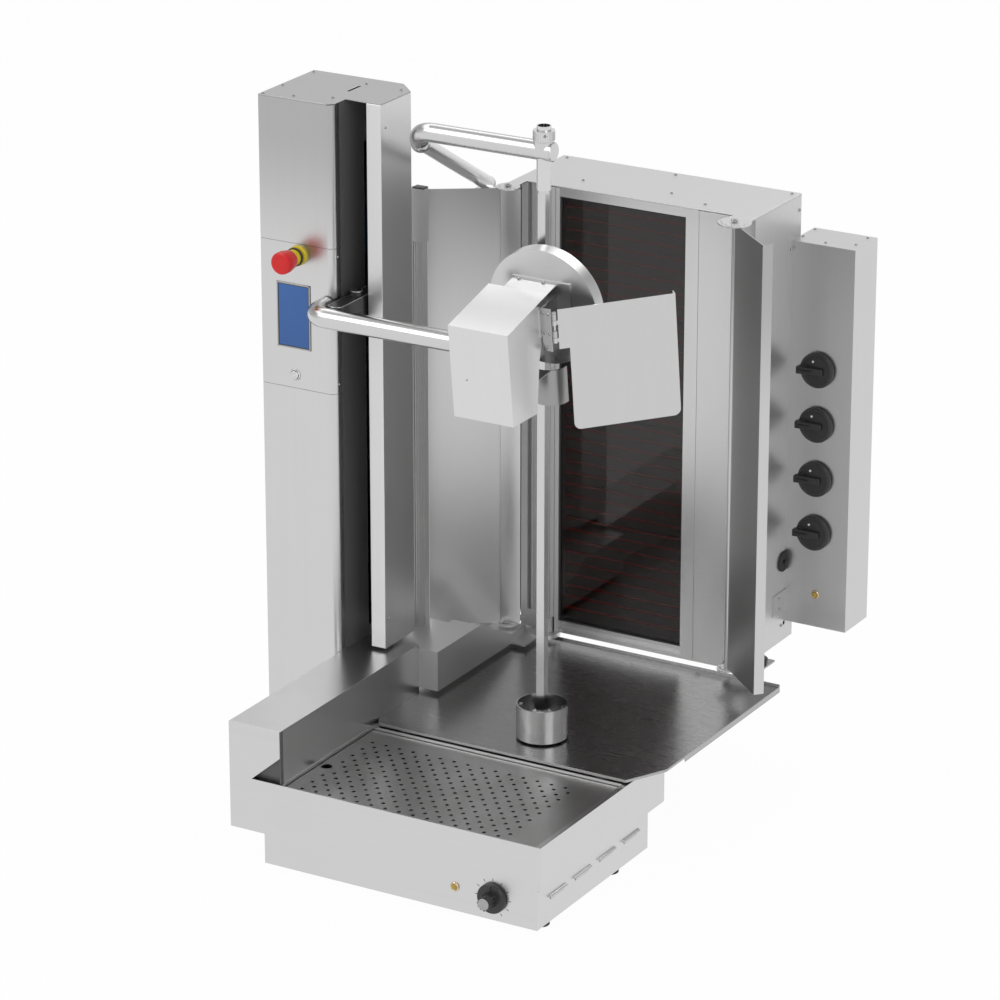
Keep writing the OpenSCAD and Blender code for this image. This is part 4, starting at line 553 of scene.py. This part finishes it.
# Spit: turned cup with its hub, square drawn bar, sleeve with a knurled collar, and the bent
# holder tube, all polished.
def turned_steel(name, tone, centre, rough=0.14, axis=2, pitch=900.0):
    """Steel finished on the lathe: fine rings about an axis through centre, in metres."""
    f = Finish(name)
    across = f.parts(f.place(centre=centre))
    pair = [across[i] for i in range(3) if i != axis]
    away = (pair[0] * pair[0] + pair[1] * pair[1]) ** 0.5
    lathe = f.node("ShaderNodeCombineXYZ", None, {0: away * pitch, 1: across[axis] * pitch})
    rings = f.noise(lathe, 1.0, 3.0, 0.6)
    patch = f.noise(f.place(), 18.0, 3.0, 0.5)
    return f.coat(Base_Color=f.mix(patch, grey(tone * 0.94), grey(tone * 1.05)), Metallic=1.0,
                  Roughness=rings * 0.10 + patch * 0.05 + (rough - 0.07), Normal=f.bump(rings, 0.30, 0.0001))


spit_x, spit_y = 113.5, -105.5
dress(turned_steel("cup_turned", 0.60, (spit_x / 1000, spit_y / 1000, 0.0), 0.20), "drive_cup")
dress(turned_steel("spit_turned", 0.66, (spit_x / 1000, spit_y / 1000, 0.0), 0.12),
      "spit_sleeve", "drive_shaft")
dress(ground_steel("bar_drawn", 0.60, (900.0, 900.0, 10.0), 0.18, 0.08, 0.4), "spit_bar")
tube_polish = ground_steel("tube_polish", 0.62, (240.0, 240.0, 240.0), 0.23, 0.05, 0.12, 0.03)
dress(tube_polish, "spit_holder", "arm_tube")
collar_low, collar_high, collar_radius = 1270.5, 1288.5, 18.5
collar_end = collar_high - collar_low - 2.0
knurl = block_mesh("knurl", (-0.8, -0.7, 2.0), (0.7, 0.7, collar_end), 0.3)
knurls = ring_of("collar_knurls", 36, collar_radius, 0, 10, knurl, tube_polish)
bands = [turned_mesh("band", [(12.7, h), (18.9, h), (18.9, h + 1.6), (12.7, h + 1.6), (12.7, h)])
         for h in (0.4, collar_end)]
piece("collar_knurls", joined("collar_knurls", [knurls] + bands), tube_polish, "sleeve",
      aimed((spit_x, spit_y, collar_low), (0, 0, 1)))
end_cap = turned_mesh("cap", [(0, 0), (16.6, 0), (16.6, 1.2), (15.2, 2.4), (0, 2.9)])
piece("holder_end_cap", end_cap, tube_polish, "base", aimed((131.5, spit_y, 1252), (1, 0, 0)))

# Tower: column, three front covers and top plate in satin sheet ground upright, round-head
# screws along the top and down the return beside the channel.
# The tower's sheet is painted darker from 0.98 m up, to 70% of its tone above 1.24 m: painted shade on its
# upper part.
tower_satin = ground_steel("tower_satin", 0.63, (900.0, 900.0, 12.0), 0.31, painted_shade=(0.98, 1.24, 0.70))
dress(tower_satin, "tower_column", "tower_front", "tower_top")
screw_zinc = ground_steel("screw_zinc", 0.42, (500.0, 500.0, 500.0), 0.24, 0.06, 0.4)
socket_head = [(0, -1.0), (2.6, -1.0), (3.1, 0.2), (3.0, 1.1), (2.3, 1.8), (1.5, 1.9), (1.3, 0.7), (0, 0.6)]


def screws(name, body, rows, size=1.0, place=None):
    """Socket-head screws: each row is a spot on the sheet, in mm, and the way it faces."""
    made = grown(name, fastener_tree, {"Size": size, "Metal": screw_zinc},
                 turned_mesh("screw", socket_head, 18), rows)
    return piece(name, made, screw_zinc, body, place)


up, front, right = (0, 0, 1), (0, -1, 0), (1, 0, 0)
tower_front_y, tower_right_x, tower_top_z = -144.5, -284.5, 1285.0
screws("tower_screws", "base", [((x, y, tower_top_z), up) for x, y in (
    (-428, 26), (-428, -75), (-428, -138), (-373, -126), (-308, -102), (-305, 4), (-232, 0))]
    + [((tower_right_x, tower_front_y + 15, z), right) for z in (1008, 774)]
    + [((-214, tower_front_y + 62, z), right) for z in (1240, 330)], 0.85)

# Channel: near-black lacquered liner with faint upright lines, and the bright cover beside it,
# which is screwed to the tower's side.
lacquer = Finish("liner_lacquer")
lines = lacquer.noise(lacquer.place((700.0, 700.0, 6.0)), 1.0, 3.0, 0.6)
haze = lacquer.noise(lacquer.place((3.0, 3.0, 1.2)), 2.0, 3.0, 0.5)
# The liner is painted mid-grey rather than its near-black: painted light that lifts the shaded channel.
dress(lacquer.coat(Base_Color=lacquer.mix(haze, grey(0.115), grey(0.165)), Metallic=0.30,
                   Roughness=lines * 0.14 + haze * 0.10 + 0.22, Normal=lacquer.bump(lines, 0.3, 0.0001)),
      "channel_liner")
dress(ground_steel("cover_bright", 0.70, (900.0, 900.0, 9.0), 0.34, 0.06, 0.3, 0.06, metal=0.85),
      "channel_cover")

# Touch screen: a plain lit blue pane behind glass, in a thin bevelled frame of steel that lies on
# the tower's front cover.
screen_x, screen_z, screen_w, screen_h = -367.5, 891.0, 69.0, 120.0
pane = Finish("screen_pane")
sides = pane.parts(pane.place(centre=(screen_x / 1000, 0.0, screen_z / 1000)))
inside = (abs(sides[0]) < 0.0305) * (abs(sides[2]) < 0.0560)
drift = pane.noise(pane.place((20.0, 20.0, 12.0)), 1.0, 2.0, 0.5)
blue = pane.mix(drift * 0.5 + sides[2] * 4.0 + 0.25, (0.014, 0.070, 0.235, 1), (0.022, 0.100, 0.315, 1))
dress(pane.coat(Base_Color=pane.mix(inside, grey(0.02), blue), Roughness=drift * 0.05 + 0.10,
                Emission_Color=pane.mix(inside, grey(0.0), blue), Emission_Strength=0.30,
                Coat_Weight=0.1, Coat_Roughness=0.04), "screen")
frame_steel = ground_steel("frame_steel", 0.40, (300.0, 300.0, 300.0), 0.30)
wide, tall, lip = screen_w / 2, screen_h / 2, 2.6
bars = [((-wide, -tall), (wide, -tall + lip)), ((-wide, tall - lip), (wide, tall)),
        ((-wide, -tall), (-wide + lip, tall)), ((wide - lip, -tall), (wide, tall))]
frame_bars = [block_mesh("bar", (screen_x + a[0], tower_front_y - 2.0, screen_z + a[1]),
                         (screen_x + b[0], tower_front_y - 0.2, screen_z + b[1]), 0.7) for a, b in bars]
piece("screen_frame", joined("screen_frame", frame_bars), frame_steel, "base")

# Emergency stop: red moulded mushroom head with a dished face, on a yellow collar with a black
# sealing ring.
stop_spot = (-356.5, tower_front_y, 1004.0)
stop_red = moulded("stop_red", (0.70, 0.006, 0.006), 0.42, 500.0, 0.12, 0.05)
stop_yellow = moulded("stop_yellow", (0.72, 0.55, 0.010), 0.42, 500.0, 0.15, 0.05)
out_of_tower = aimed(stop_spot, front)
collar = [(7.3, 0.2), (18, 0.2), (18, 5.2), (17, 6.2), (14.4, 6.4), (14.4, 22.2), (13.2, 23.8), (7.3, 23.8),
          (7.3, 0.2)]
piece("stop_collar", turned_mesh("stop_collar", collar, 48), stop_yellow, "base", out_of_tower,
      ["stop_base"])
seal = [(14.3, 9.5), (16.2, 9.5), (16.9, 10.6), (16.9, 13.4), (16.2, 14.5), (14.3, 14.5), (14.3, 9.5)]
piece("stop_seal", turned_mesh("stop_seal", seal, 48), knob_black, "base", out_of_tower)
mushroom = [(0, 10), (6.8, 10), (6.8, 28.6), (16.6, 28.6), (17.4, 29.8), (18.9, 40), (20, 44), (20, 55.4),
            (19.4, 57.8), (17.6, 59.4), (15, 60), (9, 59.4), (0, 59.0)]
piece("stop_mushroom", turned_mesh("stop_mushroom", mushroom, 56), stop_red, "stop", out_of_tower,
      ["stop_head"])

# Start button: bright turned bezel ring in the tower's front cover, and a low, slightly domed
# steel cap.
start_spot = (-367.0, tower_front_y, 782.0)
out_at_start = aimed(start_spot, front)
button_steel = turned_steel("button_steel", 0.66, (start_spot[0] / 1000, 0.0, start_spot[2] / 1000), 0.22, 1)
bezel = [(8.2, 0.1), (11, 0.1), (11, 1.2), (10.2, 2.2), (8.8, 2.2), (8.2, 1.4), (8.2, 0.1)]
piece("start_bezel", turned_mesh("start_bezel", bezel), button_steel, "base", out_at_start)
cap = [(0, -6), (7.9, -6), (7.9, 3.0), (7.2, 3.8), (4.5, 4.2), (4.2, 3.8), (3.6, 3.8), (3.3, 4.2), (0, 4.4)]
piece("start_cap", turned_mesh("start_cap", cap), button_steel, "start", out_at_start,
      ["start_button"])

# Lift inside the tower: ground rods, lead screw, black anodised block and the slider that
# carries the arm, with a polished boss and a bright wire round its nose.
thread = Finish("screw_thread")
# The thread's roots are painted dark between its bright crests: painted shade in the grooves.
thread_turns_and_root_shade = thread.node("ShaderNodeTexWave", {"wave_type": "BANDS", "bands_direction": "Z"},
                    {"Vector": thread.place(), "Scale": 40.0, "Distortion": 0.0})
dress(thread.coat(Base_Color=thread.mix(thread_turns_and_root_shade, grey(0.22), grey(0.62)), Metallic=1.0,
                  Roughness=thread_turns_and_root_shade * 0.1 + 0.16, Normal=thread.bump(thread_turns_and_root_shade, 1.0, 0.001)), "lead_screw")
dress(ground_steel("rod_ground", 0.66, (600.0, 600.0, 300.0), 0.10, 0.04, 0.2), "guide_rods")
anodised = moulded("slide_anodised", (0.024, 0.024, 0.026), 0.34, 1100.0, 0.35, 0.15)
dress(anodised, "lift_block", "arm_slider")
slider_x, slider_top, nose_y, slider_end_y = -263.5, 934.0, -168.5, 27.5


def tube_mesh(name, route, radius, steps=8, closed=False):
    """A round wire along points in mm."""
    curve = bpy.data.curves.new(name, "CURVE")
    curve.dimensions, curve.bevel_depth, curve.bevel_resolution = "3D", radius / 1000.0, max(1, steps // 4)
    curve.use_fill_caps = True
    line = curve.splines.new("POLY")
    line.points.add(len(route) - 1)
    for point, spot in zip(line.points, route):
        point.co = (*mm(*spot), 1.0)
    line.use_cyclic_u = closed
    holder = into_scene(name, curve)
    graph = bpy.context.evaluated_depsgraph_get()
    made = bpy.data.meshes.new_from_object(holder.evaluated_get(graph), depsgraph=graph)
    bpy.data.objects.remove(holder)
    return shade(made, 40.0)


nose = [(slider_x + 13.4 * math.cos(math.radians(a)), nose_y + 13.4 * math.sin(math.radians(a)), slider_top)
        for a in range(180, 361, 12)]
trim = [(slider_x - 13.4, slider_end_y, slider_top)] + nose + [(slider_x + 13.4, slider_end_y, slider_top)]
piece("slider_trim", tube_mesh("slider_trim", trim, 0.9), tube_polish, "arm")
boss_cap = turned_mesh("boss", [(0, 0), (11.4, 0), (11.4, 1.0), (10.2, 2.0), (0, 2.2)])
piece("slider_boss_cap", boss_cap, tube_polish, "arm", aimed((slider_x, -104.5, 943.0), up))

# Slicing head: leaned box of satin sheet, satin guard, polished blade, and a flap on two hinges
# with a small curved guard of darker sheet under it.
lean_angle, arm_y, arm_z = math.radians(7.0), -202.5, 920.0
head_place = Matrix.Translation(mm(0, arm_y, arm_z)) @ Matrix.Rotation(lean_angle, 4, "X")
head_left = 65.5
shaft_axis = head_place @ mm(151.5, 0, 76)
dress(ground_steel("head_satin", 0.70, (500.0, 500.0, 30.0), 0.34), "head_box")
dress(turned_steel("guard_polish", 0.60, tuple(shaft_axis), 0.30, 1, 700.0), "blade_guard")
dress(turned_steel("blade_polish", 0.68, tuple(shaft_axis), 0.10, 1, 1200.0), "blade")
dress(ground_steel("flap_satin", 0.60, (700.0, 700.0, 16.0), 0.30), "slice_flap")
dress(ground_steel("deflector_satin", 0.34, (700.0, 700.0, 16.0), 0.34), "small_guard")
hinge_metal = ground_steel("hinge_metal", 0.50, (400.0, 400.0, 400.0), 0.24)
dress(hinge_metal, "flap_hinges")
screws("guard_screws", "head", [((x, 36, 122.5), front) for x in (109, 156.5)], place=head_place)
leaf = block_mesh("hinge_leaf", (182.5, -19.6, 26), (200.5, -18.0, 104), 0.4)
piece("hinge_leaf", leaf, hinge_metal, "head", head_place)
screws("hinge_screws", "head", [((x, -19.6, z), front) for x, z in (
    (187, 95), (196, 94), (187, 59), (196, 58), (191, 33))], 0.95, head_place)
screws("box_screw", "head", [((95.3, -130, 3.0), front)], 0.55, head_place)
shaft_nut = turned_mesh("nut", [(0, 72.2), (9.6, 72.2), (9.6, 76.6), (8.4, 78.0), (0, 78.0)], 6)
piece("blade_nut", shaft_nut, hinge_metal, "cutter",
      head_place @ aimed((151.5, 0, 76), (0, 1, 0)))
socket_bead = [(18.3, -2.4), (21.4, -1.6), (22.6, 0), (18.3, 0), (18.3, -2.4)]
piece("socket_bead", turned_mesh("socket_bead", socket_bead, 48), hinge_metal, "head",
      head_place @ aimed((head_left, 0, 0), (1, 0, 0)))

# Arm bracket with the grill's pivot, and the slim ribbed post on it: drawn aluminium with a fin
# along its left side and a black cap.
dress(ground_steel("bracket_satin", 0.62, (12.0, 700.0, 700.0), 0.36, metal=0.85), "arm_bracket")
extrusion = ground_steel("post_extrusion", 0.60, (800.0, 800.0, 8.0), 0.42, 0.07, 0.5, 0.05, 0.0, 0.6)
dress(extrusion, "guard_post", "frame_pillar")
post_x, post_y = -232.5, 62.5
post_top, fin_low, fin_high = 1092, 262, 1091
post_cap = block_mesh("post_cap", (post_x - 11.5, post_y - 8.5, post_top),
                      (post_x + 11.5, post_y + 8.5, post_top + 2.5), 1.0)
piece("post_cap", post_cap, knob_black, "base")
post_fin = block_mesh("post_fin", (post_x - 19.5, post_y - 7.5, fin_low),
                      (post_x - 11.2, post_y + 7.5, fin_high), 0.5)
piece("post_fin", post_fin, extrusion, "base")

# Grill: housing and top plate in satin sheet, aluminium frame, mirror panel, dark glass over
# glowing wires and ceramic plates.
grill_satin = ground_steel("grill_satin", 0.62, (800.0, 800.0, 12.0), 0.37, 0.06, 0.25, 0.05, metal=0.85)
dress(grill_satin, "grill_housing", "grill_top_plate")
dress(ground_steel("rail_satin", 0.58, (800.0, 800.0, 10.0), 0.24), "frame_rails")
dress(ground_steel("panel_satin", 0.58, (1500.0, 1500.0, 10.0), 0.25, 0.05, 0.12, 0.04), "side_panel")
smoked = Finish("smoked_glass")
streak = smoked.noise(smoked.place((30.0, 30.0, 6.0)), 1.0, 3.0, 0.5)
dress(smoked.coat(Base_Color=smoked.mix(streak, (0.21, 0.185, 0.18, 1), (0.25, 0.22, 0.215, 1)),
                  Roughness=streak * 0.03 + 0.005, Transmission_Weight=1.0, IOR=1.45), "glass")
hot = Finish("hot_wire")
along = hot.noise(hot.place((9.0, 40.0, 90.0)), 1.0, 3.0, 0.6)
dress(hot.coat(Base_Color=hot.mix(along, (0.08, 0.035, 0.03, 1), (0.16, 0.05, 0.04, 1)),
               Roughness=along * 0.3 + 0.4,
               Emission_Color=hot.mix(along, (0.55, 0.020, 0.012, 1), (0.95, 0.045, 0.025, 1)),
               Emission_Strength=0.12), "heating_wires")
ceramic = Finish("heater_ceramic")
pores = ceramic.noise(ceramic.place(), 240.0, 4.0, 0.6)
scorch = ceramic.noise(ceramic.place((6.0, 6.0, 3.0)), 1.0, 4.0, 0.6)
dress(ceramic.coat(Base_Color=ceramic.mix(scorch, grey(0.19), grey(0.30)), Roughness=pores * 0.2 + 0.65,
                   Normal=ceramic.bump(pores, 0.5, 0.0004)), "heater_plates")
glass_left, glass_right, glass_low, glass_high, glass_face = -86.0, 170.0, 216.0, 1036.0, 309.5
gasket_w = 3
gasket = [((glass_left, glass_low), (glass_right, glass_low + gasket_w)),
          ((glass_left, glass_high - gasket_w), (glass_right, glass_high)),
          ((glass_left, glass_low), (glass_left + gasket_w, glass_high)),
          ((glass_right - gasket_w, glass_low), (glass_right, glass_high))]
strips = [block_mesh("strip", (a[0], glass_face - 3.2, a[1]), (b[0], glass_face - 0.1, b[1]), 0.8)
          for a, b in gasket]
piece("glass_gasket", joined("glass_gasket", strips), foot_rubber, "grill")
grill_top_z, house_right_x = 1055.0, 308.5
screws("grill_screws", "grill", [((x, y, grill_top_z), up) for x, y in (
    (-67.5, 356), (192.5, 333), (108.5, 364), (-165, 470), (60, 470), (295, 470))]
    + [((house_right_x, y, z), right) for y, z in ((474, 1026), (438, 962), (438, 240))])

# Wings: sheet leaves ground upright, each turning on a pivot pin under a round cap. The left one
# has a hem strip that closes the gap to the grill's frame.
# The leaves are painted darker from 0.70 m up, to 72% of their tone above 1.0 m: painted shade for the darker
# reflection on their upper part.
wing_bright = ground_steel("wing_bright", 0.60, (1200.0, 1200.0, 8.0), 0.30, 0.02, 0.02, 0.02,
                           painted_shade=(0.70, 1.0, 0.72))
dress(wing_bright, "wing_left", "wing_right")
left_pin, right_pin, pin_top = (-166.5, 257.5), (286.0, 266.5), 1057
for title, body, pin in (("left_pin_cap", "left_wing", left_pin), ("right_pin_cap", "right_wing", right_pin)):
    pin_cap = turned_mesh(title, [(0, 0), (6.5, 0), (6.5, 2.4), (5.2, 3.6), (0, 3.9)], 28)
    piece(title, pin_cap, hinge_metal, body, aimed((*pin, pin_top), up))
hem_low, hem_high, wing_heading = 214.0, 1050.0, math.radians(213.0)
hem = block_mesh("wing_hem", (-22.5, 4.6, hem_low), (14, 5.6, hem_high), 0.4)
piece("wing_hem", hem, wing_bright, "left_wing",
      Matrix.Translation(mm(*left_pin, 0)) @ Matrix.Rotation(wing_heading, 4, "Z"))

# Clamp knob under the housing, moulded with eight lobes on a steel stud, and the open rubber
# cable gland in the housing's side.
dress(knob_black, "clamp_knob")
lobe = block_mesh("lobe", (-3, -3.6, 1.5), (3.2, 3.6, 13.5), 1.6, 3)
lobes = ring_of("clamp_lobes", 8, 15.5, 0, 45, lobe, knob_black)
piece("clamp_lobes", lobes, knob_black, "clamp", aimed((292.5, 377.5, 180.5), up))
dress(foot_rubber, "cable_gland")

# Control box: satin sheet with a screwed lid, and four black moulded dials, each with a lever, a
# ridge on it and a pale dot.
dress(ground_steel("control_satin", 0.60, (900.0, 900.0, 14.0), 0.30), "control_box")
control_front, control_top, dial_x, dial_z, dial_pitch = 446.5, 977.0, 367.5, 431.5, 104.0
screws("control_screws", "grill", [((x, y, control_top), up) for x, y in (
    (315, 478), (315, 526), (367.5, 463), (420, 478), (420, 526))]
    + [((310.5, 424, z), right) for z in (278, 298)], 0.85)
dial_dot = moulded("dial_dot", (0.80, 0.80, 0.78), 0.5, 600.0)
lever_start, lever_stop, lever_base, lever_top = -35, 15, 9.5, 22


def lever_end(corner):
    """The lever is low and narrow at its inner end."""
    x, y, z = corner
    share = (x - lever_start) / (lever_stop - lever_start)
    return [x, y * (1 - 0.16 * share), z - (5.5 * share if z > lever_base else 0.0)]


for i in range(4):
    centre = (dial_x, control_front, dial_z + i * dial_pitch)
    to_front = Matrix.Translation(mm(*centre)) @ Matrix.Rotation(math.radians(90), 4, "X")
    disc = turned_mesh("disc", [(0, 0.5), (31.4, 0.5), (33, 2.0), (33, 7.6), (31.6, 9.6), (27.5, 11.0),
                                (26.4, 10.2), (24.2, 10.4), (0, 11.4)], 64)
    lever = block_mesh("lever", (lever_start, -7, lever_base), (lever_stop, 7, lever_top), 1.9, 3, lever_end)
    ridge = block_mesh("ridge", (-33, -1.1, 21.0), (-6, 1.1, 22.6), 0.5)
    rest = block_mesh("rest", (-30.4, -9.5, 9.4), (-18, 9.5, 13.5), 1.4, 3)
    piece(f"dial_{i + 1}_body", joined("dial", [disc, lever, ridge, rest]), knob_black, f"dial_{i + 1}",
          to_front, [f"power_knob_{i + 1}"])
    dot = turned_mesh("dot", [(0, 10.4), (2.3, 10.4), (2.1, 11.5), (0, 11.7)], 20)
    dot.transform(Matrix.Translation(mm(-6, 17, 0)))
    piece(f"dial_{i + 1}_dot", dot, dial_dot, f"dial_{i + 1}", to_front)

bpy.context.scene.view_settings.view_transform = "Standard"
